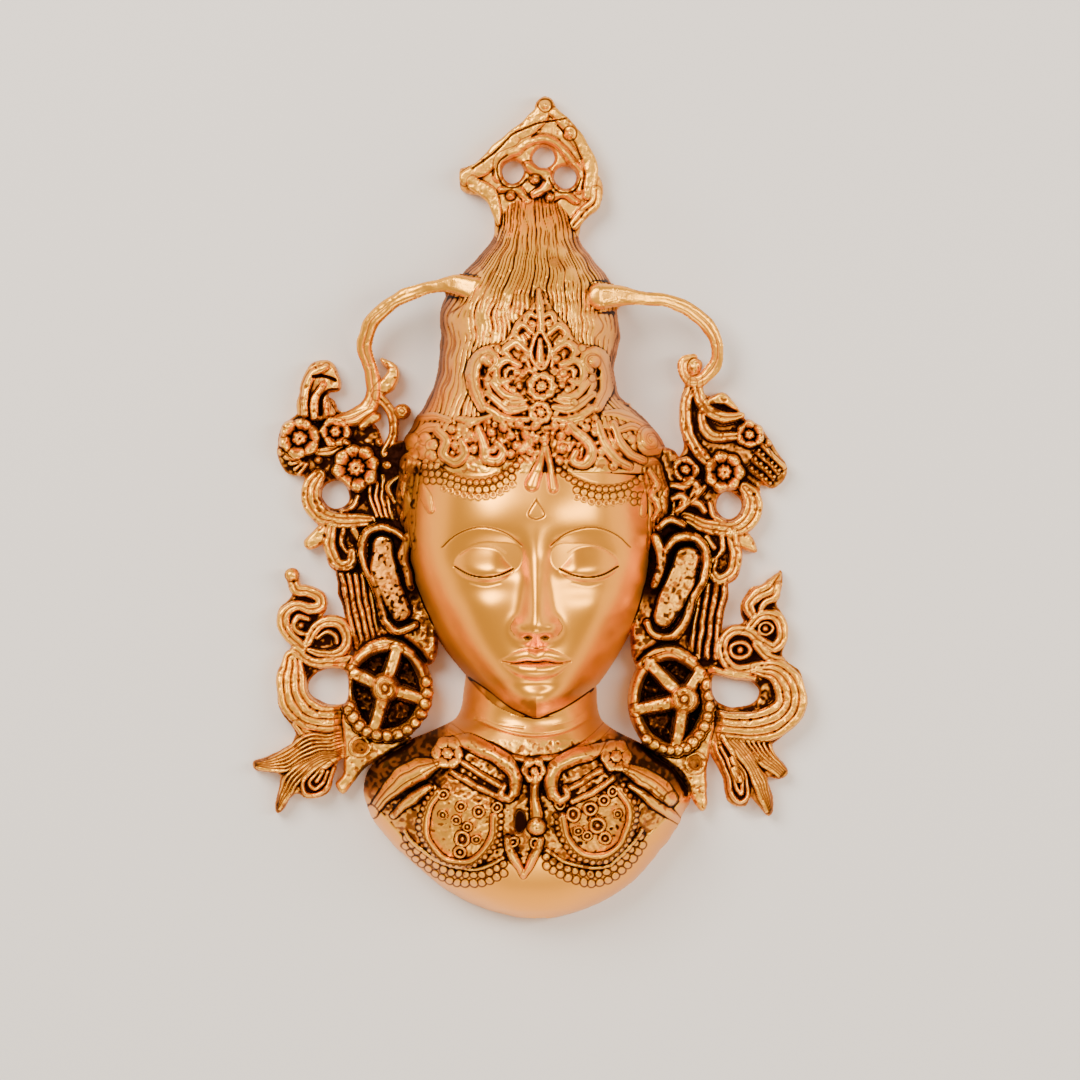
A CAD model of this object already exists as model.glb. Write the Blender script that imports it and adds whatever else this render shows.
import math

import bpy
import numpy as np
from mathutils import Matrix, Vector


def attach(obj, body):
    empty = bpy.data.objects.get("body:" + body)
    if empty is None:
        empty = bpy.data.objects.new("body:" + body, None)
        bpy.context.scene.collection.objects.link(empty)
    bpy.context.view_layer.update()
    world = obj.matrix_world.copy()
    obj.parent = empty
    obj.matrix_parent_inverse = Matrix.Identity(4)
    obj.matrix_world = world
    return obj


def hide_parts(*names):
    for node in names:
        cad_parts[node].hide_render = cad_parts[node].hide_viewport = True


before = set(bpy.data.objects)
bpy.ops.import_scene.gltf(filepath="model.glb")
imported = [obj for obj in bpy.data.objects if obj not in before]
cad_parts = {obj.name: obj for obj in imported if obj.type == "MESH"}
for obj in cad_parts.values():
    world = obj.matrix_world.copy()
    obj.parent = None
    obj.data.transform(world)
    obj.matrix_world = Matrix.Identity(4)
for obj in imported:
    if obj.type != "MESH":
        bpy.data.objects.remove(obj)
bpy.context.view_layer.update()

mm = 0.001

# The mask is drawn as a height map: the front and the back each have a height at every point of a
# fine grid, in millimetres. Each carved stroke, flower or bead is added to the front where it stands.
grid = {
    "step": 0.35,  # a little under one pixel of the render
    "cellsX": 640,
    "cellsY": 952,
    "block": 4,  # back faces are this many cells wide where nothing needs finer ones
    "rim": 1.6,  # least thickness at an edge
    "wall": 3.5,  # wall of the hollow casting
}
step = grid["step"]
xs = (np.arange(grid["cellsX"] + 1) - grid["cellsX"] / 2) * step
ys = (np.arange(grid["cellsY"] + 1) - grid["cellsY"] / 2) * step
placeX, placeY = np.meshgrid(xs, ys)
gridX, gridY = placeX, placeY
rng = np.random.default_rng(7)

front = np.zeros_like(gridX)
inside = np.full_like(gridX, -9.0)  # distance in from the outline, negative outside
back = np.full_like(gridX, 99.0)
polish = np.zeros_like(gridX)  # 1 where the casting is buffed to a mirror
grime = np.zeros_like(gridX)  # extra dark patina
edgeSkirt = 0.7  # strokes are worked out this far past their own edge
windowPad = 2.0


def smoothMax(a, b, blend):
    near = np.maximum(blend - np.abs(a - b), 0)
    return np.maximum(a, b) + near * near / (4 * blend)


def softStep(low, high, value):
    t = np.clip((value - low) / (high - low), 0, 1)
    return t * t * (3 - 2 * t)


def boxBlur(field, cells):
    for axis in (0, 1):
        padded = np.pad(field, [(cells + 1, cells) if a == axis else (0, 0) for a in (0, 1)], mode="edge")
        total = np.cumsum(padded, axis=axis)
        size = 2 * cells + 1
        if axis == 0:
            field = (total[size:] - total[:-size]) / size
        else:
            field = (total[:, size:] - total[:, :-size]) / size
    return field


def softBlur(field, radius):
    cells = max(1, int(round(radius / step * 0.58)))
    for _ in range(3):
        field = boxBlur(field, cells)
    return field


def valueNoise(spacing, octaves=1):
    total = np.zeros_like(gridX)
    strength = 1.0
    for _ in range(octaves):
        field = softBlur(rng.standard_normal(gridX.shape), spacing * 0.5)
        total += strength * field / field.std()
        spacing *= 0.5
        strength *= 0.5
    return total


# Strokes wander a little, as lines cut by hand in the wax do, but not on the face
hand = {"slow": 0.2, "quick": 0.035, "most": 0.8}
calm = softBlur(((np.abs(placeX - 3) < 44) & (placeY < 12) & (placeY > -94)).astype(float), 5)


def wander(place):
    drift = hand["slow"] * valueNoise(6) + hand["quick"] * valueNoise(2.2)
    return place + (1 - calm) * np.clip(drift, -hand["most"], hand["most"])


gridX, gridY = wander(placeX), wander(placeY)

# Arched forms along Y. Each row is y, left edge, right edge, height, roundness of the arch
arches = {
    "head": [
        (42, -38, 40, 50, 2.5), (20, -47, 47.5, 59.5, 2.8), (5, -49.5, 49.5, 62.5, 2.9),
        (-12, -50, 50, 63.5, 2.9), (-28, -47.5, 48.5, 63, 2.8), (-42, -42, 44.5, 62.5, 2.7),
        (-54, -35.5, 38.5, 61.5, 2.6), (-64, -28, 32.5, 60, 2.5), (-72, -20.5, 26.5, 57.5, 2.4),
        (-79, -12.5, 18.5, 52, 2.3), (-83, -3, 9, 43, 2.3),
    ],
    "hair": [
        (124, -12, 17, 8, 2.4), (113, -13, 19, 20, 2.4), (106, -15.5, 20.5, 28, 2.4),
        (99, -21, 25.5, 35, 2.4), (90, -29.5, 33, 42.5, 2.5), (80, -35, 35, 48, 2.6),
        (68, -35.5, 36, 51, 2.6), (54, -37, 34.5, 54.5, 2.7), (44, -40, 36.5, 58.5, 2.7),
        (34, -46, 47.5, 61.5, 2.8), (24, -50.5, 54, 62, 2.9), (13, -50.5, 52, 60, 2.9),
    ],
    "bust": [
        (-54, -24, 26, 36, 2.4), (-72, -26, 27, 39, 2.4), (-84, -29, 28.5, 41, 2.4),
        (-89, -38, 34, 43, 2.5), (-94, -50, 44, 45, 2.6), (-99, -58, 53, 46.5, 2.7),
        (-106, -64.5, 62, 47.5, 2.7), (-115, -66, 65, 48, 2.7), (-124, -62.5, 61, 46.5, 2.7),
        (-134, -55, 55, 43, 2.6), (-144, -44.5, 47, 37, 2.5), (-153, -33, 37, 29, 2.4),
        (-160, -19, 24, 19, 2.3), (-164, -5, 11, 9, 2.2),
    ],
}
edgeLean = 0.6
faceAxis = 3.0


def rowsAt(rows, y):
    table = np.array(rows[::-1], float)
    knots = table[:, 0]
    slopes = np.empty_like(table)
    slopes[1:-1] = (table[2:] - table[:-2]) / (knots[2:] - knots[:-2])[:, None]
    slopes[0] = (table[1] - table[0]) / (knots[1] - knots[0])
    slopes[-1] = (table[-1] - table[-2]) / (knots[-1] - knots[-2])
    index = np.clip(np.searchsorted(knots, y) - 1, 0, len(knots) - 2)
    span = (knots[index + 1] - knots[index])[:, None]
    t = np.clip((y - knots[index])[:, None] / span, 0, 1)
    bend = (2 * t - 3) * t * t
    return (
        (bend + 1) * table[index] + (t - 2 * t * t + t**3) * slopes[index] * span
        - bend * table[index + 1] + (t**3 - t * t) * slopes[index + 1] * span
    )


def archFields(rows, inset=0.0):
    low, high = rows[-1][0], rows[0][0]
    shrink = 1 - 2 * inset / (high - low)
    y = (low + high) / 2 + (ys - (low + high) / 2) / shrink
    row = rowsAt(rows, np.clip(y, low, high))
    left, right, top, roundness = (row[:, k][:, None] for k in (1, 2, 3, 4))
    half = (right - left) / 2 - inset
    across = np.abs(gridX - (left + right) / 2) / np.maximum(half, 0.1)
    height = np.maximum(top - inset, 0) * np.maximum(1 - across**roundness, 0) ** edgeLean
    within = (gridY <= high - inset) & (gridY >= low + inset) & (half > 0.5)
    ends = np.minimum(gridY - low, high - gridY)
    depth = np.minimum((1 - across) * half, ends)
    return np.where(within, height, 0), np.where(within | (ends > -edgeSkirt), depth, -9)


headTop, headIn = archFields(arches["head"])
hairTop, hairIn = archFields(arches["hair"])
bustTop, bustIn = archFields(arches["bust"])
hollow = np.maximum.reduce([archFields(rows, grid["wall"])[0] for rows in arches.values()])
bodyIn = np.maximum.reduce([headIn, hairIn, bustIn])
front = smoothMax(smoothMax(headTop, hairTop, 2.5), bustTop, 0.8) * (bodyIn > -edgeSkirt)
inside = np.maximum(inside, bodyIn)
back = np.where(bodyIn > -edgeSkirt, 0, back)
# steep flanks, where noise would streak
steep = softStep(0.9, 2.4, np.hypot(*np.gradient(front, step))) * (bodyIn > 0)
print("mask: body forms done")


def smoothCurve(points, closed=False, spacing=0.8):
    p = np.array(points, float)
    if len(p) == 2:
        count = max(2, int(np.linalg.norm(p[1, :2] - p[0, :2]) / spacing) + 1)
        share = np.linspace(0, 1, count)
        return p[0] + (p[1] - p[0]) * share[:, None], share
    p = np.vstack([p[-1], p, p[0], p[1]]) if closed else np.vstack([2 * p[0] - p[1], p, 2 * p[-1] - p[-2]])
    line, shares = [], []
    spans = len(p) - 3
    for i in range(spans):
        a, b, c, d = p[i:i + 4]
        gaps = [max(np.linalg.norm((u - v)[:2]) ** 0.5, 1e-3) for u, v in ((b, a), (c, b), (d, c))]
        ta, tb = 0.0, gaps[0]
        tc, td = tb + gaps[1], tb + gaps[1] + gaps[2]
        count = max(2, int(np.linalg.norm((c - b)[:2]) / spacing) + 1)
        t = np.linspace(tb, tc, count, endpoint=i == spans - 1)[:, None]
        ab = a * (tb - t) / (tb - ta) + b * (t - ta) / (tb - ta)
        bc = b * (tc - t) / (tc - tb) + c * (t - tb) / (tc - tb)
        cd = c * (td - t) / (td - tc) + d * (t - tc) / (td - tc)
        abc = ab * (tc - t) / (tc - ta) + bc * (t - ta) / (tc - ta)
        bcd = bc * (td - t) / (td - tb) + cd * (t - tb) / (td - tb)
        line.append(abc * (tc - t) / (tc - tb) + bcd * (t - tb) / (tc - tb))
        shares.append((i + (t[:, 0] - tb) / (tc - tb)) / spans)
    return np.vstack(line), np.concatenate(shares)


def window(lowX, highX, lowY, highY):
    i = np.searchsorted(xs, [lowX, highX])
    j = np.searchsorted(ys, [lowY, highY])
    return slice(j[0], j[1]), slice(i[0], i[1])


def spread(values, share):
    values = np.atleast_1d(np.array(values, float))
    return np.interp(share, np.linspace(0, 1, len(values)), values)


def strokeField(path, width, closed=False):
    # For each point near the stroke: how far inside it is, where it lies across (-1 to 1) and along,
    # and the stroke's half width there
    line, share = smoothCurve(path, closed)
    half = spread(width, share) / 2
    pad = half.max() + windowPad
    (lowX, lowY), (highX, highY) = line[:, :2].min(axis=0) - pad, line[:, :2].max(axis=0) + pad
    area = window(lowX, highX, lowY, highY)
    shape = gridX[area].shape
    depth, across, along, wide = np.full(shape, -9.0), np.full(shape, 9.0), np.zeros(shape), np.ones(shape)
    originJ, originI = area[0].start, area[1].start
    for k in range(len(line) - 1):
        (ax, ay), (bx, by) = line[k, :2], line[k + 1, :2]
        spot = window(min(ax, bx) - pad, max(ax, bx) + pad, min(ay, by) - pad, max(ay, by) + pad)
        local = (
            slice(spot[0].start - originJ, spot[0].stop - originJ),
            slice(spot[1].start - originI, spot[1].stop - originI),
        )
        dx, dy = bx - ax, by - ay
        px, py = gridX[spot] - ax, gridY[spot] - ay
        t = np.clip((px * dx + py * dy) / (dx * dx + dy * dy + 1e-9), 0, 1)
        far = np.hypot(px - t * dx, py - t * dy)
        reach = half[k] + (half[k + 1] - half[k]) * t
        deep = reach - far
        better = deep > depth[local]
        side = np.where(dx * py - dy * px >= 0, 1, -1)
        depth[local] = np.where(better, deep, depth[local])
        across[local] = np.where(better, side * far / np.maximum(reach, 0.05), across[local])
        along[local] = np.where(better, share[k] + (share[k + 1] - share[k]) * t, along[local])
        wide[local] = np.where(better, reach, wide[local])
    return area, depth, across, along, wide


def section(across, reach, kind="round"):
    # Height across a stroke, from 0 at its edges to 1
    u = np.clip(np.abs(across), 0, 1)
    if kind == "round":
        return np.sqrt(np.maximum(1 - u * u, 0))
    if kind == "sharp":
        return (1 - u) ** 0.8
    edge = np.clip((1 - u) * reach / 1.1, 0, 1)  # a band: flat, with rounded edges
    return np.sqrt(1 - (1 - edge) ** 2) * (0.86 + 0.14 * np.sqrt(1 - u * u))


def grooves(across, reach, cuts):
    # Fine lines cut along a stroke, 1 at the bottom of each
    total = np.zeros_like(across)
    for k in range(cuts):
        middle = 2 * (k + 1) / (cuts + 1) - 1
        total = np.maximum(total, np.exp(-(((across - middle) * reach / 0.42) ** 2)))
    return total


def put(area, depth, height, blend=0.5, floor=0.0, joins=True):
    # Adds a form to the front where its depth is positive, and to the outline if it joins it
    near = depth > -edgeSkirt
    front[area] = np.where(near, smoothMax(front[area], height, blend), front[area])
    if joins:
        inside[area] = np.maximum(inside[area], depth)
        back[area] = np.where(near, np.minimum(back[area], floor), back[area])


def ridge(path, width, height, **form):
    # One carved stroke; its width and height may change along it
    return {"path": path, "width": width, "height": height, **form}


def strokes(pieces, **shared):
    for piece in pieces:
        form = {
            "kind": "band", "closed": False, "cuts": 0, "cutDepth": 0.8,
            "on": None, "edge": 0.6, "sink": 0.6, "blend": 0.4, "seam": 0.75,
        }
        form.update(shared)
        form.update(piece)
        area, depth, across, along, reach = strokeField(form["path"], form["width"], form["closed"])
        rise = spread(form["height"], along)
        shape = section(across, reach, form["kind"])
        lines = grooves(across, reach, form["cuts"]) * (np.abs(across) < 0.97)
        covered = front[area].copy()
        if form["on"] is None:
            height = rise * (form["edge"] + (1 - form["edge"]) * shape) - form["cutDepth"] * lines
            put(area, depth, height, form["blend"])
        else:
            height = form["on"][area] + (
                rise + form["sink"]
            ) * shape - form["sink"] - form["cutDepth"] * lines
            front[area] = np.where(depth > 0, smoothMax(covered, height, form["blend"]), covered)
        raised = (depth > 0.15) & (height > covered - 0.4)
        grime[area] = np.where(raised, 0.9 * lines, grime[area])
        beside = np.exp(-(((depth + 0.25) / 0.38) ** 2)) * form["seam"] * (height < covered + 2)
        grime[area] = np.where(raised, grime[area], np.maximum(grime[area], beside * (depth > -1)))


def engrave(paths, width, deep, darken=0.8):
    for path in paths:
        area, depth, across, along, _ = strokeField(path, width)
        cut = deep * np.maximum(1 - across * across, 0) * (depth > 0)
        front[area] -= cut
        grime[area] = np.maximum(grime[area], darken * softStep(0.05, 0.6, cut / deep))


def rods(pieces):
    # Free bars that stand clear of the back plane
    for piece in pieces:
        area, depth, across, along, reach = strokeField(piece["path"], piece["width"])
        line, share = smoothCurve(piece["path"])
        middle = np.interp(along, share, line[:, 2])
        shape = np.sqrt(np.maximum(1 - np.clip(across, -1, 1) ** 4, 0))
        lines = grooves(across, reach, 1) * softStep(0.2, 0.5, along)
        put(area, depth, middle + reach * shape - 0.5 * lines, 0.6, middle - reach * shape)
        grime[area] = np.where(depth > 0.2, 0.7 * lines, grime[area])
        polish[area] = np.where(depth > 0, np.maximum(polish[area], 0.45), polish[area])


def outlineField(points, spacing=1.2):
    line, _ = smoothCurve(points, closed=True, spacing=spacing)
    low, high = line.min(axis=0) - 3, line.max(axis=0) + 3
    area = window(low[0], high[0], low[1], high[1])
    x, y = gridX[area], gridY[area]
    nearest = np.full(x.shape, 1e3)
    within = np.zeros(x.shape, bool)
    for (ax, ay), (bx, by) in zip(line, np.roll(line, -1, axis=0)):
        dx, dy = bx - ax, by - ay
        t = np.clip(((x - ax) * dx + (y - ay) * dy) / (dx * dx + dy * dy + 1e-9), 0, 1)
        nearest = np.minimum(nearest, np.hypot(x - ax - t * dx, y - ay - t * dy))
        crosses = (ay > y) != (by > y)
        within ^= crosses & (x < ax + (y - ay) * dx / (dy if abs(dy) > 1e-9 else 1e-9))
    return area, np.where(within, nearest, -nearest)


mottle = valueNoise(1.3)


def plates(pieces):
    # Flat grounds with a rounded edge; dirt is how dark the patina lies on them
    for piece in pieces:
        area, depth = outlineField(piece["outline"])
        edge = np.clip(depth / piece.get("round", 1.6), 0, 1)
        height = piece["height"] * (0.55 + 0.45 * np.sqrt(1 - (1 - edge) ** 2))
        put(area, depth, height, 0.4)
        dirt = piece.get("dirt", 0.0)
        dirt = np.clip(dirt * (1 + 0.45 * mottle[area]), 0, 1)
        grime[area] = np.where((depth > 0) & (height > front[area] - 0.3), dirt, grime[area])


def around(x, y, radius, stretch=1.0):
    pad = radius * max(1, stretch) * 1.15 + windowPad
    area = window(x - pad, x + pad, y - pad, y + pad)
    dx, dy = gridX[area] - x, (gridY[area] - y) / stretch
    return area, np.hypot(dx, dy), np.arctan2(dy, dx)


def flowers(pieces, **shared):
    for piece in pieces:
        form = {"petals": 6, "turn": 0.0, "on": None, "height": 12, "stretch": 1.0}
        form.update(shared)
        form.update(piece)
        x, y = form["at"]
        area, far, angle = around(x, y, form["radius"], form["stretch"])
        wave = np.cos(form["petals"] * (angle - form["turn"]))
        rim = form["radius"] * (1 + 0.05 * wave)
        share = far / rim
        notch = np.clip(-wave, 0, 1) ** 9  # the line between two petals
        fold = np.sqrt(np.clip(1 - ((share - 0.74) / 0.34) ** 2, 0, 1))
        petal = 0.6 + 0.3 * fold - 0.05 * (
            1 - np.abs(wave)
        ) * fold - 0.14 * notch * softStep(0.35, 0.6, share)
        pit = np.exp(-(((share - 0.47) / 0.12) ** 2)) * (0.35 + 0.65 * np.clip(-wave, 0, 1) ** 2)
        boss = np.sqrt(np.clip(1 - (share / 0.36) ** 2, 0, 1))
        shape = np.where(
            share < 0.36,
            0.6 + 0.4 * boss - 0.16 * np.exp(-((share / 0.1) ** 2)),
            petal - 0.22 * pit,
        )
        shape *= np.sqrt(np.clip((1.04 - share) / 0.16, 0, 1))
        depth = rim - far
        covered = front[area].copy()
        if form["on"] is None:
            put(area, depth, form["height"] * shape, 0.3)
        else:
            height = form["on"][area] + form["height"] * (shape * 1.25 - 0.25)
            front[area] = np.where(depth > 0, smoothMax(covered, height, 0.3), covered)
        shade = np.clip(pit * (share > 0.36) + 0.5 * notch * softStep(0.4, 0.6, share), 0, 0.95)
        grime[area] = np.where((depth > 0.2) & (front[area] > covered + 0.1), shade, grime[area])
        edge = np.exp(-(((depth + 0.3) / 0.45) ** 2)) * 0.85
        grime[area] = np.where(depth > 0.2, grime[area], np.maximum(grime[area], edge))


def beads(places, radius, rise, on=None, joins=False, pit=0.0, shade=1.0):
    for x, y in places:
        area, far, _ = around(x, y, radius)
        dome = np.sqrt(np.clip(1 - (far / radius) ** 2, 0, 1))
        dome = dome - pit * np.exp(-((far / (radius * 0.4)) ** 2))
        depth = radius - far
        if on is None:
            put(
                area, depth,
                rise - radius + radius * dome if joins else rise * (0.4 + 0.6 * dome),
                0.25, joins=joins,
            )
        else:
            height = on[area] + rise * dome - 0.15
            front[area] = np.where(depth > 0, smoothMax(front[area], height, 0.15), front[area])
        grime[area] = np.where(far < radius * 0.8, 0.5 * pit * (far < radius * 0.4), grime[area])
        seam = shade * np.exp(-(((far - radius - 0.1) / 0.5) ** 2))
        grime[area] = np.maximum(grime[area], seam * (front[area] > 0))


def rings(places, rise, on, thick=0.4, eye=True):
    for x, y, radius in places:
        area, far, _ = around(x, y, radius)
        share = far / radius
        hoop = np.sqrt(np.clip(1 - ((share - (1 - thick / 2)) / (thick / 2)) ** 2, 0, 1))
        dot = 0.8 * np.sqrt(np.clip(1 - (share / 0.3) ** 2, 0, 1)) if eye else 0
        ground = 0 if on is None else on[area]
        height = ground + rise * np.maximum(hoop, dot) - 0.1
        raised = np.maximum(hoop, dot) > 0.35
        front[area] = np.where(share < 1, np.maximum(front[area], height), front[area])
        grime[area] = np.where(
            (share < 1.15) & ~raised, np.maximum(grime[area], 0.75), np.where(raised, 0, grime[area]),
        )


def arc(x, y, radiusX, radiusY, start, stop, count=9):
    turns = np.radians(np.linspace(start, stop, count))
    return [(x + radiusX * math.cos(t), y + radiusY * math.sin(t)) for t in turns]


def evenly(path, spacing):
    line, _ = smoothCurve(path)
    gone = np.concatenate([[0], np.cumsum(np.hypot(*np.diff(line[:, :2], axis=0).T))])
    at = np.linspace(0, gone[-1], max(2, int(round(gone[-1] / spacing)) + 1))
    return list(zip(np.interp(at, gone, line[:, 0]), np.interp(at, gone, line[:, 1])))


def swell(x, y, sizeX, sizeY, rise):
    # Soft rise or hollow on the face
    reach = 3 * max(sizeX, sizeY)
    area = window(x - reach, x + reach, y - reach, y + reach)
    front[area] += rise * np.exp(-(((gridX[area] - x) / sizeX) ** 2) - ((gridY[area] - y) / sizeY) ** 2)


# Face of calm, even proportions: hairline, brow, nose base and chin are a third of the face apart,
# the eyes are one eye apart, and the mouth is a third of the way from nose to chin
face = {
    "eyeLine": -22.0,
    "eyeCentre": 20.0,
    "eyeReach": 11.0,
    "noseBase": -50.0,
    "mouthLine": -61.0,
    "brow": [(5.5, -15.5), (12, -10.5), (22, -8.2), (31, -11), (37, -16)],
    "lidFold": [(12, -18.2), (15.5, -16), (20.5, -15.2), (26, -16.4), (30, -19)],
    "lidEdge": [(9, -24.4), (14, -26.8), (20, -27.8), (26, -26.8), (32, -23.6)],
    "lidUnder": [(14, -30), (20, -31.2), (26, -30)],
    "lineWidth": 0.85,
    "noseLevels": [-6, -13, -20, -28, -37, -43, -46.5, -49.5, -52.6, -55],
    "noseRises": [0, 1.2, 2.8, 5.2, 8.8, 11.6, 12.6, 11.4, 4.4, 0],
    "noseHalves": [8, 7, 6.6, 6.8, 7.8, 9.0, 9.6, 9.8, 9.8, 9.8],
    "upperLip": [(-13.6, 0.4), (-8.4, 2.0), (-3.4, 3.2), (0, 2.6), (3.4, 3.2), (8.4, 2.0), (13.6, 0.4)],
    "lowerLip": [(-12, -0.8), (-6.6, -2.9), (0, -3.6), (6.6, -2.9), (12, -0.8)],
    "parting": [(-13.4, 0.4), (-8, -0.4), (-3, 0.5), (0, 0.1), (3, 0.5), (8, -0.4), (13.4, 0.4)],
    "mark": [(0, 2.6), (-3.1, -3.6), (0, -5.0), (3.1, -3.6), (0, 2.6)],
    "nostril": [(8.6, 6), (10.2, 2.6), (8.4, -0.4)],
}


def makeFace():
    eyeY, mouthY, baseY = face["eyeLine"], face["mouthLine"], face["noseBase"]
    middle = faceAxis
    swell(middle, -2, 30, 12, 1.5)
    swell(middle, -64, 17, 11, 3.4)
    swell(middle, -76, 11, 6.5, 4.0)
    swell(middle, -69.5, 9, 2.6, -2.0)
    for side in (-1, 1):
        eyeX = middle + side * face["eyeCentre"]
        swell(eyeX, eyeY + 3.5, 13, 6.5, -4.2)
        swell(middle + side * 9.5, eyeY + 1.5, 4.5, 5.5, -3.0)
        swell(eyeX + side * 1.5, eyeY - 10.5, 12, 4.5, -1.2)
        swell(middle + side * 24, -41, 11, 12, 2.0)
        lid = window(eyeX - 15, eyeX + 15, eyeY - 12, eyeY + 12)
        u = (gridX[lid] - eyeX) / (face["eyeReach"] + 1.2)
        v = (gridY[lid] - eyeY + 0.6) / 7.2
        front[lid] += 4.2 * np.maximum(1 - u * u - v * v, 0) ** 0.85
    # nose
    area = window(middle - 16, middle + 16, -57, -4)
    levels = face["noseLevels"][::-1]
    rise = np.interp(gridY[area], levels, face["noseRises"][::-1])
    half = np.interp(gridY[area], levels, face["noseHalves"][::-1])
    side = np.abs(gridX[area] - middle) / half
    nose = np.exp(-((side / 0.6) ** 2.2)) * rise
    front[area] += softBlur(np.pad(nose, 8, mode="edge"), 1.3)[8:-8, 8:-8]
    for sign in (-1, 1):
        swell(middle + sign * 6.8, baseY + 2.8, 3.0, 3.4, 4.4)
        swell(middle + sign * 3.4, baseY - 1.1, 1.5, 1.0, -2.6)
    swell(middle, baseY - 6, 1.7, 3.2, -0.8)
    # lips
    ground = front.copy()
    lines = ("upperLip", "lowerLip", "parting")
    upper, lower, parting = ([(middle + x, mouthY + y) for x, y in face[name]] for name in lines)
    strokes([
        ridge(upper, [1.6, 3.8, 5, 5, 5, 3.8, 1.6], [0.1, 1.3, 2.2, 2.1, 2.2, 1.3, 0.1]),
        ridge(lower, [1.6, 5, 6.8, 5, 1.6], [0.1, 2, 2.9, 2, 0.1]),
    ], on=softBlur(ground, 1.2), kind="round", sink=0.8, blend=1.8, seam=0)
    engrave([parting], 1.1, 1.0, 0.75)


makeFace()
polish = np.where((headIn > 0.5) & (gridY < 14) & (hairIn < 0), 1.0, polish)
polish = np.where((bustIn > 0) & (headIn < 0) & (gridY > -92) & (gridY < -60), 0.9, polish)


def engraveFace():
    mirrored = []
    for name in ("brow", "lidFold", "lidEdge", "lidUnder"):
        mirrored += [[(faceAxis + side * x, y) for x, y in face[name]] for side in (-1, 1)]
    engrave(mirrored[:2], face["lineWidth"] * 1.1, 0.5, 0.9)
    engrave(mirrored[2:4], face["lineWidth"], 0.3, 0.55)
    engrave(mirrored[4:6], face["lineWidth"] * 1.35, 0.8, 1.0)
    engrave(mirrored[6:], face["lineWidth"] * 0.8, 0.2, 0.35)
    engrave([[(faceAxis + x, y) for x, y in face["mark"]]], 0.9, 0.5, 0.9)
    for side in (-1, 1):
        nostril = [(faceAxis + side * x, face["noseBase"] + y) for x, y in face["nostril"]]
        engrave([nostril], 0.8, 0.4, 0.7)
    for side in (-1, 1):
        pit = window(faceAxis + side * 3.4 - 2.4, faceAxis + side * 3.4 + 2.4, -53, -49)
        far = np.hypot((gridX[pit] - faceAxis - side * 3.4) / 1.9, (gridY[pit] + 51.3) / 1.0)
        grime[pit] = np.maximum(grime[pit], 0.9 * (far < 1))


engraveFace()
faceGround = front.copy()
print("mask: face done")


# Hair drawn up in strands that fan out from the topknot
hair = {"strands": 40, "neckStrands": 22, "depth": 1.2, "locks": 10, "lockDepth": 0.9}


def combHair():
    row = rowsAt(arches["hair"], np.clip(ys, 13, 124))
    left, right = row[:, 1][:, None], row[:, 2][:, None]
    across = (gridX - (left + right) / 2) / ((right - left) / 2)
    drift = 0.024 * valueNoise(18) + 0.009 * valueNoise(7)
    sweep = across + drift
    upper = softStep(97, 107, gridY)
    strand = np.abs(np.sin(np.pi * sweep * hair["strands"] / 2)) * (1 - upper)
    strand += np.abs(np.sin(np.pi * sweep * hair["neckStrands"] / 2)) * upper
    lock = np.abs(np.sin(np.pi * (sweep + drift) * hair["locks"] / 2))
    worn = 0.12 + 0.88 * softStep(-1.9, 0.3, valueNoise(5) + 0.5 * valueNoise(2))
    cut = (1 - strand) ** 1.35 * worn
    lockCut = (1 - lock) ** 5
    fade = softStep(14, 30, gridY) * (1 - softStep(118, 128, gridY)) * softStep(0, 1.0, hairIn)
    front[:] -= (hair["depth"] * cut + hair["lockDepth"] * lockCut) * fade
    dark = np.clip((1.5 * cut - 0.1 + lockCut) * (1 + 0.6 * softStep(14, 4, hairIn)), 0, 1) * fade
    stain = softStep(0.2, 2.4, valueNoise(8)) + np.exp(-(((gridX + 25) / 6) ** 2) - ((gridY - 92) / 5) ** 2)
    grime[:] = np.maximum(grime, np.maximum(0.95 * dark, 0.5 * np.clip(stain, 0, 1) * fade))


combHair()
hairGround = front.copy()
bustGround = front.copy()
print("mask: hair done")


def between(first, last, count):
    # Paths that run evenly from one path to another
    ends = []
    for path in (first, last):
        line, _ = smoothCurve(path)
        pick = np.linspace(0, len(line) - 1, 7).astype(int)
        ends.append(line[pick])
    return [ends[0] + (ends[1] - ends[0]) * k / (count - 1) for k in range(count)]


def ribs(first, last, count, width, height, **form):
    strokes([
        {"path": path, "width": width, "height": height, "kind": "round", **form}
        for path in between(first, last, count)
    ])


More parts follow.
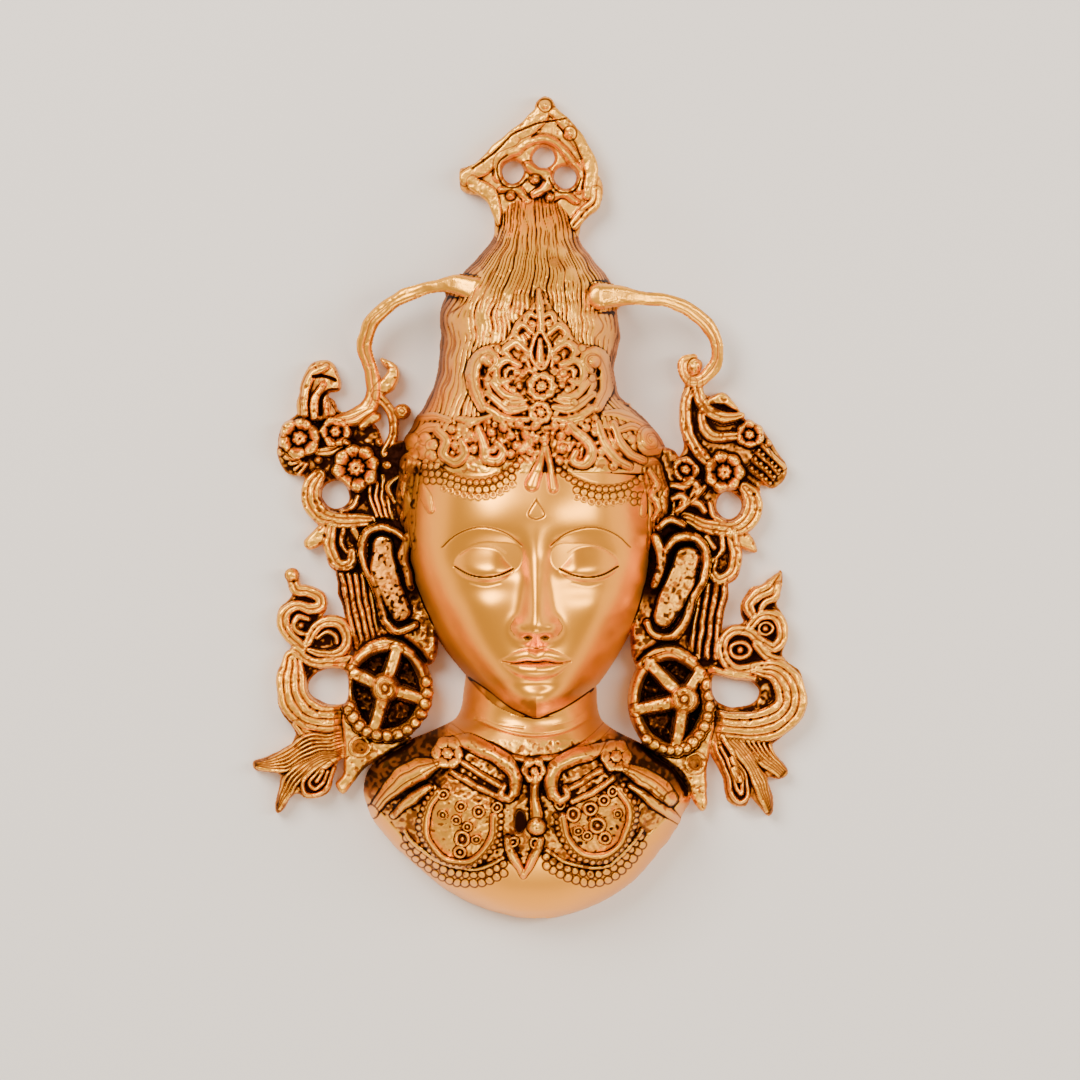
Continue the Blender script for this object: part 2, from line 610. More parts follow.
# Pierced plate that the mask hangs by
plate = {
    "outline": [
        (-27.9, 131.5), (-27.4, 135), (-23.6, 136), (-18.6, 138.1), (-14.4, 142.4), (-9.4, 146.6),
        (-3, 152.3), (2, 156.6), (2.6, 160.6), (5.6, 164.2), (9.1, 163), (11.3, 158), (14.8, 153.8),
        (19.8, 149.5), (23.4, 143.8), (26.2, 138.1), (27.2, 133.1), (29.3, 130.3), (29.8, 125.3),
        (27.7, 119.6), (21.5, 115.3), (19, 108), (-13, 106), (-13.6, 115), (-15.1, 121), (-18.6, 124.6),
        (-24.3, 125.3), (-27.5, 127.4),
    ],
    "height": 8.5,
    "dirt": 0.12,
    "round": 2.2,
    "holes": [(-6.2, 133.8, 4.5), (5.9, 139.5, 4.3), (14.4, 131.7, 4.4)],
    "bands": [
        ridge(
            [(-25.4, 131), (-19, 134.6), (-11, 142.6), (-3, 149), (3.4, 154.6), (6.4, 160)],
            [5.4, 6.4, 7, 7, 6.6, 5.4], 10.4,
        ),
        ridge(
            [(10, 157), (16.6, 150.2), (22.4, 141.6), (25, 132.4), (23.6, 124)],
            [4.4, 5.4, 5.6, 5.4, 4], 10.6,
        ),
        ridge([(-12, 113), (-12.8, 118.6), (-15.6, 125), (-22, 129)], [1.6, 4.4, 6, 5], 10.2),
        ridge([(17.6, 112), (22, 117.4), (26.4, 121), (27, 126.4)], [3.6, 4.8, 4.6, 3.4], 10.8, cuts=1),
    ],
    "frames": [
        ridge(
            [
                (-12.8, 131), (-11.6, 138.6), (-4.6, 142), (-0.4, 145.6), (6, 147), (12, 144.4),
                (16, 138.6), (20.6, 133), (20, 126.4),
            ],
            [3, 3.8, 3.6, 3.6, 3.8, 3.8, 3.6, 3.4, 2.6],
            10.2,
        ),
        ridge([(-0.4, 136), (3.6, 134), (7.6, 130.6), (6, 126.8), (2, 124.6)], [4, 5.6, 5.4, 4.6, 3], 12),
        ridge([(-11, 126.6), (-5, 126.8), (-1, 122.4)], [3, 4.6, 3], 10.6),
        ridge([(9, 122.6), (14, 125.2), (19, 122)], [3, 4.4, 3], 10.8),
    ],
    "lines": [
        [(-22, 135), (-14, 141), (-6, 148.6), (2, 152.2), (14.6, 155)],
        [(11, 152), (17.6, 146), (21, 138.6)],
        arc(-6.2, 133.8, 6.6, 6.6, 110, 330, 9),
        arc(14.4, 131.7, 6.4, 6.4, 190, 350, 8),
        [(4, 131.6), (6.4, 129.6)],
    ],
    "studs": [(6.2, 160.2), (16.4, 149)],
    "drops": [(8, 123.4), (2.6, 130.6), (-7, 124)],
}


def makePlate():
    plates([plate])
    strokes(plate["bands"], edge=0.84, seam=0.7)
    strokes(plate["frames"], edge=0.7, kind="round", seam=0.8)
    engrave(plate["lines"], 1.1, 0.8, 0.95)
    beads(plate["studs"], 2.6, 12)
    beads(plate["drops"], 2.2, 12.4)


makePlate()

# Crest: a fan of curls and leaves about a flower, in front of the topknot. It is drawn from its middle
# line, so each path is used on both sides
crest = {
    "middle": 4.5,
    "outline": [
        (0, 28), (10, 30), (21, 34), (26.5, 42), (28.5, 51), (25, 61.5), (19, 64), (14.5, 65), (11, 71),
        (6, 76), (2.6, 82), (0, 86),
    ],
    "curls": [
        (
            [(22.5, 39), (26, 47), (25.5, 56), (20.5, 60.5), (17, 57), (19.5, 53.5)],
            [4.5, 6, 6.4, 6, 4.4, 3], 6.5,
        ),
        ([(8.5, 55.5), (13.5, 57.5), (17, 53.5), (16, 48.5), (12, 49)], [3, 3.8, 4, 3.6, 2.6], 5.2),
        ([(5, 60.5), (9.5, 64), (13.5, 61.5), (12, 58.5)], [3, 3.8, 3.6, 2.6], 4.8),
        ([(3.6, 68), (7.5, 70.8), (10.3, 67.4), (8, 65)], [2.8, 3.4, 3.2, 2.2], 4.4),
        ([(1.4, 74), (4.4, 75.4), (5.6, 72.2)], [2.4, 3, 2.2], 3.8),
        ([(5.5, 38.5), (12, 38), (20.5, 44)], [3, 4.6, 3.4], 4.6),
        ([(5, 34), (12, 33.8), (21.5, 39)], [3, 4.4, 3.2], 4.2),
        ([(7.5, 42.5), (13, 43), (19.5, 49.5)], [2.6, 4, 3], 4.8),
        ([(2, 30.5), (9, 31), (17, 34)], [2.4, 3.2, 2.4], 3.6),
    ],
    "leaves": [
        [(7, 50.6), (9.4, 53.4), (12.4, 54.6)],
        [(8.6, 43.8), (12.4, 46.2), (14.6, 50)],
        [(14.4, 59.8), (16, 61.2), (18.4, 60.4)],
        [(19, 44.6), (21, 48.4), (20.6, 52)],
        [(4.2, 54.4), (5.4, 57.6), (4.6, 60.4)],
        [(7.4, 66.6), (6, 63.8), (6.6, 61.2)],
        [(13.4, 50.6), (13.2, 53), (11.4, 54.4)],
        [(5.6, 41.6), (9.6, 40.4), (13.4, 41)],
        [(2.2, 71.6), (3.4, 69.2), (2.6, 66.8)],
        [(20, 57.6), (21.8, 60), (20.6, 62)],
        [(12.4, 65.6), (10.2, 68.2), (9.4, 70.8)],
        [(22, 43), (24.4, 47.4), (24, 52)],
    ],
    "beads": [
        (9.2, 52.2), (10.6, 45.6), (20.6, 50.4), (16.4, 62.4), (6.6, 57.6), (13.4, 40.6), (3.4, 71.6),
        (8.2, 47.2),
    ],
    "border": [(-18, 34), (-7, 29.6), (4, 28.4), (15, 29.8), (26, 34.6)],
    "eyes": [(-16.4, 57), (25.6, 57)],
    "slits": [[(-18.6, 53.2), (-17.8, 51.2)], [(27.6, 53.2), (26.8, 51.2)]],
    "flowers": [
        {"at": (5, 46.6), "radius": 6.0, "height": 6.0, "petals": 9},
        {"at": (4.5, 36.4), "radius": 4.8, "height": 5.0, "petals": 7},
    ],
}


def makeCrest():
    middle = crest["middle"]
    ground = softBlur(hairGround, 1.8)
    half = crest["outline"]
    rim = [(middle + x, y) for x, y in half] + [(middle - x, y) for x, y in half[-2:0:-1]]
    area, depth = outlineField(rim)
    mound = ground[area] + 2.2 * np.sqrt(np.clip(depth / 3, 0, 1)) + 1.6 * softStep(2, 14, depth)
    front[area] = np.where(depth > 0, mound, front[area])
    ground = front.copy()
    knobs = valueNoise(1.9)[area]
    front[area] += np.where(depth > 0.5, np.clip(1.3 * knobs, 0, 2.0), 0)
    grime[area] = np.where(depth > 0, 0.25 + 0.45 * softStep(0.6, -0.6, knobs), grime[area])
    for side in (-1, 1):
        strokes([
            ridge([(middle + side * x, y) for x, y in path], widths, rise * 0.72, cuts=int(max(widths) > 4.4))
            for path, widths, rise in crest["curls"]
        ], on=ground, sink=0.4, kind="round")
        strokes([
            ridge([(middle + side * x, y) for x, y in path], [1.6, 2.8, 1.4], 2.4)
            for path in crest["leaves"]
        ], on=ground, sink=0.4, kind="round", seam=0.6)
        beads([(middle + side * x, y) for x, y in crest["beads"]], 1.5, 3.0, ground)
    beads(crest["eyes"], 2.6, 5.6, ground)
    engrave(crest["slits"], 2.0, 1.6, 1.0)
    tear = [(middle, 53.6), (middle - 3.7, 59.5), (middle, 68.6), (middle + 3.7, 59.5)]
    strokes([ridge(tear, 2.2, 3.2, closed=True, kind="round")], on=ground)
    strokes([
        ridge([(middle, 56.5), (middle, 65)], [4.4, 1.8], 4.4, kind="round"),
        ridge([(middle, 69), (middle, 77), (middle - 0.5, 85)], [4.4, 4, 1.6], [4, 4, 2.6], kind="round"),
    ], on=ground)
    flowers(crest["flowers"], on=ground)
    beads(evenly(crest["border"], 2.9), 1.35, 2.2, ground)


makeCrest()
print("mask: crest done")


# Crown over the forehead: chunky curls, a tassel and two festoons of beads
crown = {
    "curls": [
        ([(-36, 31), (-40.5, 31), (-44, 29)], [3, 4, 3]),
        (
            [(-36.5, 30), (-32.5, 26.5), (-33.5, 20.5), (-29, 17.4), (-24.8, 20.5), (-26, 25.5)],
            [3.6, 4.6, 4.6, 4.6, 4.2, 3],
        ),
        (
            [(-19.5, 30), (-17.5, 24), (-16, 18.4), (-11.8, 17.4), (-10, 21.5), (-12.4, 24.5)],
            [3.4, 4.6, 4.6, 4.4, 3.8, 2.8],
        ),
        (
            [(16, 31.5), (20.5, 27.5), (24.5, 21.5), (21.6, 16.4), (17.4, 17.6), (18.4, 21.4)],
            [3.6, 4.8, 4.8, 4.4, 3.8, 2.8],
        ),
        ([(27.5, 32.5), (29.5, 25), (34, 18.6), (39.5, 15.6)], [3, 4.4, 4.4, 3.2]),
        ([(33.5, 32), (35.5, 26), (40, 20.4), (45.5, 18)], [3, 4, 4, 3]),
        ([(36, 30.4), (40, 31.6), (43.4, 30)], [2.6, 3.6, 2.6]),
    ],
    "festoons": [
        [(-41, 17.6), (-33.4, 12.6), (-23.3, 9.4), (-13.2, 10.2), (-6.4, 14.2), (-3.4, 17.8)],
        [(11.6, 14.2), (18.8, 9.2), (29, 6.6), (39, 8.2), (46.5, 12.8)],
    ],
    "blobs": [
        (-22.5, 28), (-21.5, 22.5), (-7, 27.5), (-4.5, 23.5), (-1, 28), (0.6, 21.5), (-7, 20.4),
        (12.6, 27.4), (13.4, 22.4), (10, 31), (26, 29), (-30, 30.5), (40.4, 26.4), (-22.6, 32.6),
        (-28.8, 24), (-14.4, 28.6), (-9.6, 30.8), (-3.6, 32), (2.6, 31.6), (3, 26.6), (15.4, 29.6),
        (22.6, 30.6), (28.4, 21.4), (33.4, 15.6), (12, 17.8), (-13.8, 22),
    ],
    "rolledCurl": (48, 26),
    "edges": [
        ridge([(-49, 34), (-40, 35.5), (-31, 34)], [2, 4, 2.6], 2.8, cuts=1),
        ridge([(-27, 34.5), (-21, 33), (-15, 35)], [2.6, 3.6, 2.4], 2.6),
        ridge([(30, 36.5), (38, 36), (46, 32.5)], [2.4, 4, 2.4], 2.8, cuts=1),
    ],
    "lobes": [(-46.6, 25.4), (-41.6, 22.2)],
    "lobeBeads": [(-41, 26.8), (-46, 20.6), (-38, 24.2), (-38.4, 19.6)],
    "tassel": [
        ridge([(6.2, 25), (4.4, 17), (1.2, 8.5)], [2, 3.6, 5.6], [4.4, 3.4, 2.4]),
        ridge([(6.6, 25), (8.2, 16), (9.6, 7)], [2, 3.0, 3.8], [4.4, 3.2, 2.2]),
    ],
    "tasselKnot": [(6.3, 26)],
    "templeDrops": [
        ridge([(-42.5, 8), (-40.4, 3.6), (-38.6, -1.5)], [3, 4.4, 2.4], 2.0),
        ridge([(47.5, 7.5), (46.4, 2.6), (45.2, -3)], [3, 4.2, 2.4], 2.0),
    ],
}


def makeCrown():
    ground = softBlur(front, 1.6)
    field = softStep(15.5, 18.5, gridY) * (1 - softStep(31, 35, gridY))
    field = field * softStep(0, 2, np.maximum(hairIn, headIn))
    knobs = valueNoise(2.0)
    front[:] += field * 0.9 * (1 - 0.8 * steep) * np.clip(knobs, -1.2, 1.6)
    grime[:] = np.maximum(grime, field * (0.1 + 0.45 * softStep(0.1, -0.9, knobs)))
    polish[:] = np.maximum(polish, 0.25 * field)
    strokes([
        ridge(path, widths, 3.8, cuts=1, cutDepth=0.4, kind="round", seam=0.5)
        for path, widths in crown["curls"]
    ], on=ground)
    strokes(crown["edges"], on=ground, kind="round")
    beads(crown["blobs"], 1.9, 3.2, ground, shade=0.6)
    beads(crown["lobes"], 3.9, 4.4, ground)
    beads(crown["lobeBeads"], 2.6, 3.8, ground)
    # a rolled curl ends the crown at the other side
    x, y = crown["rolledCurl"]
    beads([(x, y)], 6.2, 5.4, ground)
    turns = [(5.2 - 0.62 * k, 1.1 * k) for k in range(8)]
    coil = [(x + radius * math.cos(turn), y + radius * math.sin(turn)) for radius, turn in turns]
    strokes([ridge(coil, 2.0, 1.5)], on=front.copy(), kind="round", seam=0.95)
    onFace = softBlur(faceGround, 0.6)
    onFace = np.maximum(onFace, softBlur(front, 2.5) - 0.4)
    for path in crown["festoons"]:
        beads(evenly(path, 2.5), 1.25, 1.7, onFace)
        lower = [(x, y - 2.9) for x, y in path[1:-1]]
        beads(evenly(lower, 2.9), 1.45, 1.6, onFace, pit=0.6)
        over, under = [(x, y + 1.9) for x, y in path], [(x, y - 4.6) for x, y in path[1:-1]]
        engrave([over, under], 0.8, 0.4, 0.75)
        fringe = [(x, y - 5.6) for x, y in path[1:-1]]
        rings([(x, y, 1.3) for x, y in evenly(fringe, 2.8)], 0.8, onFace, eye=False)
    # tassel of two drops at the parting of the crown
    strokes(crown["tassel"], on=onFace, kind="round", sink=0.3)
    beads(crown["tasselKnot"], 2.2, 3.8, ground)
    # beads and a drop at each temple
    beads([
        (-41.5 + 2.7 * k + 0.6 * row, 15.5 - 2.7 * row)
        for row in range(3)
        for k in range(3)
    ], 1.3, 1.6, onFace)
    beads([(41.5 + 2.7 * k, 4.5 - 2.7 * row) for row in range(2) for k in range(2)], 1.3, 1.6, onFace)
    strokes(crown["templeDrops"], on=onFace, kind="round")


makeCrown()
print("mask: crown done")


# Hair that comes down past the temples to the ears
temples = {
    "fields": [
        (
            [(-55.4, 19), (-57, 6), (-55, -3), (-53, -12)],
            [(-43.6, 17), (-45.4, 4), (-46, -6), (-45.6, -17)],
        ),
        ([(57, 17), (59, 6), (58, -3), (55.4, -13)], [(45.6, 15), (48, 4), (48.4, -6), (47.6, -17)]),
    ],
    "locks": [
        ridge([(-45, 16), (-47.6, 6), (-47.4, -4), (-46, -14)], [13, 12, 10, 6], [31, 22, 18, 15]),
        ridge([(47, 14), (50, 5), (50, -5), (48, -14)], [13, 12, 10, 6], [31, 22, 18, 15]),
    ],
    "curls": [
        ridge([(47.6, 14), (51, 9), (48.6, 4.6), (51.6, 0), (49.6, -5)], [2.4, 3, 3, 3, 2], 2.6),
        ridge([(54.6, 15), (56, 8.6), (53.4, 3), (55.4, -4)], [2, 2.6, 2.6, 2], 2.2),
        ridge([(-46.4, 15), (-50, 8), (-48.2, 2), (-50.4, -5)], [2, 2.8, 2.8, 2], 2.2),
    ],
}


def makeTemples():
    strokes(temples["locks"], edge=0.35, kind="round", blend=8, seam=0)
    onHead = softBlur(front, 0.7)
    for first, last in temples["fields"]:
        area, depth = outlineField(first + last[::-1])
        grime[area] = np.where(depth > -1, np.maximum(grime[area], 0.8), grime[area])
        for path in between(first, last, 7):
            strokes([ridge(path, [1.2, 2.0, 1.9, 0.9], 1.2)], on=onHead, kind="round", seam=0.95)
        shade = 0.72 if first[0][0] < 0 else 0.36
        grime[area] = np.where(depth > -1, np.maximum(grime[area], shade + 0.2 * mottle[area]), grime[area])
    strokes(temples["curls"], on=onHead, kind="round", seam=0.9)


makeTemples()

# Ground behind the ears, rising towards the head
sides = {
    "grounds": [
        [
            (-48, 26), (-57, 24), (-62, 14), (-68, 0), (-74, -10), (-77, -20), (-76.5, -32), (-73.5, -44),
            (-70, -58), (-58, -60), (-46, -63), (-38, -62), (-38, -30), (-42, 0),
        ],
        [
            (50, 24), (58, 22), (64, 10), (72, -4), (80, -12), (79.5, -34), (77.5, -46), (76.5, -62),
            (62, -66), (50, -68), (42, -62), (42, -30), (44, 0),
        ],
    ],
    "thickness": 5.5,
    "rise": 10.0,
}


def makeGrounds():
    for outline in sides["grounds"]:
        area, depth = outlineField(outline)
        edge = np.clip(depth / 1.8, 0, 1)
        lift = sides["rise"] * softStep(68, 44, np.abs(gridX[area] - 1))
        height = (sides["thickness"] + lift) * (0.5 + 0.5 * np.sqrt(1 - (1 - edge) ** 2))
        fresh = (depth > 0) & (height > front[area])
        put(area, depth, height + 0.25 * mottle[area])
        low = softStep(-34, -44, gridY[area]) * softStep(66, 58, np.abs(gridX[area]))
        low = np.maximum(low, 0.75 * softStep(4, 12, gridY[area]) * (gridX[area] > 0))
        shade = 1.0 - low * (0.75 - 0.65 * softStep(-0.1, -0.9, mottle[area]))
        grime[area] = np.where(fresh, shade, grime[area])


makeGrounds()
print("mask: grounds done")


# Free ribbons that arch from the hair down to the flowers
ribbons = {
    "rods": [
        {
            "path": [
                (-22, 86, 30), (-29, 88, 28), (-36, 87.6, 25), (-43, 86, 22), (-51, 83, 20), (-58, 78, 17),
                (-63.6, 71, 14), (-65.4, 63, 11), (-63, 54, 8.5), (-61.4, 46, 7), (-64.5, 39, 6),
                (-70, 35.5, 6), (-76, 33.6, 6),
            ],
            "width": [9, 7.5, 5.4, 5, 5.4, 6, 6.2, 5.8, 5.6, 6.4, 7, 6.6, 6],
        },
        {
            "path": [
                (28, 83, 32), (35, 83.5, 28), (43, 82.8, 24), (53, 82, 20), (62, 79, 17), (70.5, 73, 14),
                (75, 64, 12), (73.6, 55.6, 10), (68.4, 50.6, 9), (62.4, 52, 9), (61.4, 57.4, 9),
                (65.6, 59.4, 9),
            ],
            "width": [11, 8.5, 5.6, 5.2, 5.2, 5.4, 5.2, 5.2, 5, 4.8, 4.4, 3.6],
        },
    ],
    "stems": [
        ridge([(-58.5, 59), (-54, 54), (-56.5, 49), (-60, 45)], [2, 5, 6, 5], [9, 10, 10, 9]),
        ridge([(-60, 44), (-54.8, 37.5), (-54.2, 29), (-57.5, 21.5)], [4, 4.2, 4, 4.4], 9, cuts=1),
        ridge([(-61, 36), (-67, 32)], [4, 3], 8),
        ridge(
            [(67, 52), (67.4, 45), (71, 39), (77.5, 35.6), (85, 36.4)],
            [4.4, 5, 5.2, 5, 3], 10.5, cuts=1,
        ),
        ridge(
            [(65.4, 50), (62.6, 41.5), (63, 31.5), (66.6, 24), (71, 18)],
            [3.6, 4.8, 5, 5, 4.6], 9.5, cuts=1,
        ),
        ridge([(69, 40), (69.6, 32.5), (74.6, 28), (83, 28.4)], [3, 4.4, 4.8, 3.6], 9, cuts=1),
        ridge([(71, 42), (76.5, 43.2), (82.6, 39.4)], [2.6, 5, 2.2], 10),
    ],
    "buds": [(-50.4, 38), (66.2, 56.2)],
    "budRing": [(-50.4, 38, 2.2)],
}


def makeRibbons():
    rods(ribbons["rods"])
    strokes(ribbons["stems"])
    beads(ribbons["buds"], 3.2, 11, joins=True)
    rings(ribbons["budRing"], 11.2, None)


# Grounds, flowers, buds and round scrolls of the upper ornaments
clusters = {
    "grounds": [
        {
            "outline": [
                (-92.5, 38), (-98, 32.5), (-100.2, 27), (-99.8, 18), (-95, 13), (-89.4, 12), (-90.6, 6),
                (-89, -1), (-84.6, -6.6), (-81.6, -11), (-81.4, -18), (-77.6, -25.6), (-71, -26.6),
                (-66, -22), (-56, -18), (-50, -2), (-50, 18), (-57, 22), (-61, 32), (-68, 37), (-76, 38.5),
                (-78, 43), (-92.4, 43),
            ],
            "height": 5.5,
            "dirt": 1.0,
        },
        {
            "outline": [
                (-77, 36), (-79.4, 41.5), (-79.6, 45.4), (-76, 46.4), (-75.2, 50), (-77, 56), (-81, 58.7),
                (-86.2, 57.6), (-89.4, 53.5), (-91.8, 45.4), (-92.6, 36.8), (-86, 34),
            ],
            "height": 9.5,
            "dirt": 0.15,
        },
        {
            "outline": [(-82, -6), (-86.6, -9.6), (-89.8, -14), (-88.4, -17), (-83, -15.6), (-79.6, -11)],
            "height": 8.5,
            "dirt": 0.1,
        },
        {
            "outline": [
                (58, 18), (61.6, 24), (60.6, 32), (60.4, 42), (63.6, 51), (69, 51), (69.6, 46), (76, 43.4),
                (83, 40.4), (86.4, 35), (92, 33), (95.6, 27), (102.6, 17), (103.2, 13), (97.5, 7.6),
                (92.4, 8.5), (92.8, -1.5), (88.6, -9), (84.4, -13), (84.6, -22), (82, -29.6), (76, -32),
                (70, -34), (52, -34), (50, 18),
            ],
            "height": 5.5,
            "dirt": 0.6,
        },
        {
            "outline": [(83, -9), (88, -11), (91.2, -17.6), (85.6, -17), (82, -14)],
            "height": 8.5,
            "dirt": 0.1,
        },
    ],
    "holes": [(-77.4, 4.8, 5.4), (79.8, 0.6, 5.0)],
    "flowers": [
        {"at": (-91.3, 27.4), "radius": 8.4, "height": 13.5, "petals": 6, "turn": 0.3},
        {"at": (-77.2, 29.6), "radius": 6.4, "height": 12.5, "petals": 6},
        {"at": (-69, 15.6), "radius": 9.6, "height": 15.5, "petals": 8, "turn": 0.2},
        {"at": (77.8, 13.8), "radius": 8.4, "height": 14.5, "petals": 7},
        {"at": (88.2, 29), "radius": 5.6, "height": 12.5, "petals": 6, "turn": 0.5},
        {"at": (62.3, 14.6), "radius": 5.6, "height": 13, "petals": 5},
    ],
    "plumes": [
        ridge([(-89.4, 37), (-89, 45.5), (-86, 53), (-81, 55.8)], [3.6, 3.4, 3.6, 3], 12),
        ridge([(-85.6, 36), (-85.4, 43), (-82, 48.6)], [3.6, 3.6, 2.6], 12),
        ridge([(-81.5, 36), (-80.6, 41)], [3, 2.4], 11),
        ridge([(-77, 34), (-70, 35.4), (-63, 39)], [4, 5, 4], 10, cuts=1),
        ridge([(-84, 22), (-79, 22.4), (-75, 24)], [4, 4.4, 3], 9, cuts=1),
    ],
    "plumeCuts": [
        [(-86, 52), (-81.5, 52.4), (-77.2, 50.8)],
        [(-83.4, 37), (-82.6, 43.4), (-79.4, 46.4), (-76.4, 47)],
    ],
    "leftLeaf": ([(-99, 22.5), (-94.5, 20.4)], [(-91.6, 13.4), (-88.6, 17)], 5, 2.1, 9.5),
    "scrolls": [
        ridge(
            arc(-77.4, 4.8, 9.6, 9.8, 128, 262, 8) + [(-71, -5.4), (-63, -5.6)],
            [5, 7.4, 7.8, 7.8, 7.8, 7.4, 7, 6.6, 6, 5],
            10, cuts=2,
        ),
        ridge([(-68, 4.5), (-70.6, 0), (-75, -1.6)], [2.4, 2.6, 2], 9),
        ridge(
            arc(79.8, 0.6, 9.4, 9.6, 48, -104, 9) + [(71, -7.6), (62, -4)],
            [5, 7, 7.6, 7.8, 7.8, 7.6, 7.4, 7, 6.6, 6, 5],
            10, cuts=2,
        ),
        ridge([(72, 1.8), (73.4, -3.4), (78, -5.6)], [2.2, 2.6, 2], 9),
    ],
    "leftHair": (
        [(-63.6, 10), (-62.6, 2), (-60, -4)],
        [(-53, 14), (-54, 4), (-52.4, -5)], 5, 1.9, [9, 10, 12],
    ),
    "rightHair": ([(70, 8), (66, 3), (62, 0)], [(58, 8), (57.6, 2), (57, -4)], 4, 2.1, [10, 12, 14]),
    "tendrils": [
        ridge(
            [(56.6, 8.4), (61, 8), (64.8, 10), (67.4, 7), (64.6, 4.6)],
            [3, 4, 4, 3.6, 2.6], [15, 14, 12, 11, 12],
        ),
        ridge([(56.6, 3), (60.4, 4.2), (62, 1), (58.4, -1.6)], [3, 3.8, 3.6, 2.6], [15, 14, 14, 15]),
        ridge([(64, 1.6), (67.6, 1.2), (70, -1.8)], [2.6, 4, 2.6], [12, 11, 10]),
        ridge([(-52, 12), (-56, 8), (-53.4, 2)], [2, 3, 2], [16, 14, 14]),
    ],
    "rightLeaf": ([(92.6, 24.6), (101.6, 15.8)], [(88.6, 15.4), (95.4, 9.6)], 4, 2.4, 9.8),
    "buds": [(-99, 22), (-56.4, 16.4), (-84, 18.6), (69.4, 22), (95, 25.4), (-72.5, 25.4), (-60, 25.6)],
}


def makeClusters():
    plates(clusters["grounds"])
    strokes(clusters["plumes"])
    engrave(clusters["plumeCuts"], 1.8, 2.2, 1.0)
    ribs(*clusters["leftLeaf"])
    strokes(clusters["scrolls"])
    ribs(*clusters["leftHair"])
    ribs(*clusters["rightHair"])
    strokes(clusters["tendrils"], kind="round", seam=0.8)
    ribs(*clusters["rightLeaf"])
    flowers(clusters["flowers"])
    beads(clusters["buds"], 1.8, 10.5)
    for row in range(3):
        beads(
            evenly([(91.6 - 1.2 * row, 22.6 - 3.4 * row), (100.2 - 2 * row, 14.6 - 2.4 * row)], 2.6),
            0.9, 10.6,
        )


makeClusters()
makeRibbons()
print("mask: upper clusters done")


# Hooks below the round scrolls, straps, and the ears in front of them
ears = {
    "pads": [(-55, -29, 0.52), (58, -32, 0.36)],
    "leftStraps": (
        [(-74.6, -27), (-72, -40), (-68.4, -56)],
        [(-63.6, -27), (-62, -40), (-58.8, -56)],
        5, 2.3, 9.2,
    ),
    "rightStraps": (
        [(78, -31), (75.6, -44), (74.4, -60)],
        [(68, -31), (66.4, -44), (64, -60)],
        4, 2.4, 9.2,
    ),
    "hooks": [
        ridge(
            [(-78.8, -8), (-79.4, -16), (-76, -22.6), (-71.2, -22.4), (-70.4, -18)],
            [5, 5, 5, 5, 4], 10, cuts=1,
        ),
        ridge([(-74, -9), (-74.8, -15), (-72.6, -18)], [2.4, 2.6, 2], 9),
        ridge([(-70, -9), (-67.4, -14)], [3.4, 2.6], 9),
        ridge(
            [(80.6, -11), (82.4, -19), (80.4, -26.4), (76, -29), (72.8, -26), (74, -21.4)],
            [5, 5, 5, 5, 4.6, 3.4], 10, cuts=1,
        ),
        ridge([(76.6, -11.4), (77.4, -17), (75, -20)], [2.6, 2.8, 2], 9),
        ridge([(71, -12), (74, -16)], [3, 2.6], 9),
    ],
    "shells": [
        ridge(
            [
                (-49, -13), (-54, -9.4), (-60, -8.4), (-65, -11.4), (-66.4, -17.6), (-64.8, -24.4),
                (-61.2, -30.6), (-58.8, -38), (-56.6, -45), (-51.6, -49.6), (-45.4, -47),
            ],
            2.8,
            [24, 21, 19, 17, 16, 16.5, 17, 18, 19, 20, 22],
        ),
        ridge(
            [(-58.2, -15.6), (-57.6, -25), (-54, -34.6), (-50.8, -41.6)],
            [8.6, 10.4, 9.6, 8], [16, 17.5, 19.5, 21],
        ),
        ridge([(-47.6, -12), (-49.6, -20), (-46.6, -32)], [4, 4.4, 3], [22, 22, 22]),
        ridge(
            [
                (54, -17.6), (58, -12.8), (64, -11.6), (69.4, -15.4), (70.4, -22), (68.8, -29.4),
                (64.4, -37), (62, -45), (56.4, -51.6), (49.6, -50.6), (46.8, -46),
            ],
            3.1,
            [24, 21, 19, 17, 16, 16.5, 17, 18, 19, 20, 22],
        ),
        ridge(
            [(62.6, -20), (60.6, -28), (56.6, -36.6), (53.4, -43.6)],
            [9, 11, 11, 8], [16, 17.5, 19.5, 21],
        ),
        ridge([(50, -12), (52.6, -20), (49.8, -31)], [4, 4.4, 3], [22, 22, 22]),
        ridge([(51.5, -8), (56, -5.4), (61, -7.6)], [2.6, 3.4, 2.4], [22, 20, 17]),
    ],
}


def makeEars():
    ribs(*ears["leftStraps"])
    ribs(*ears["rightStraps"])
    strokes(ears["hooks"])
    strokes(ears["shells"], edge=0.7)
    pitted = valueNoise(1.1)
    # the pads are pitted and a little dirty
    for x, y, dirt in ears["pads"]:
        area = window(x - 9, x + 9, y - 16, y + 16)
        spots = 0.6 * softStep(0.4, 1.5, pitted[area]) + dirt
        grime[area] = np.where(front[area] > 12, np.maximum(grime[area], spots), grime[area])


makeEars()
print("mask: ears done")


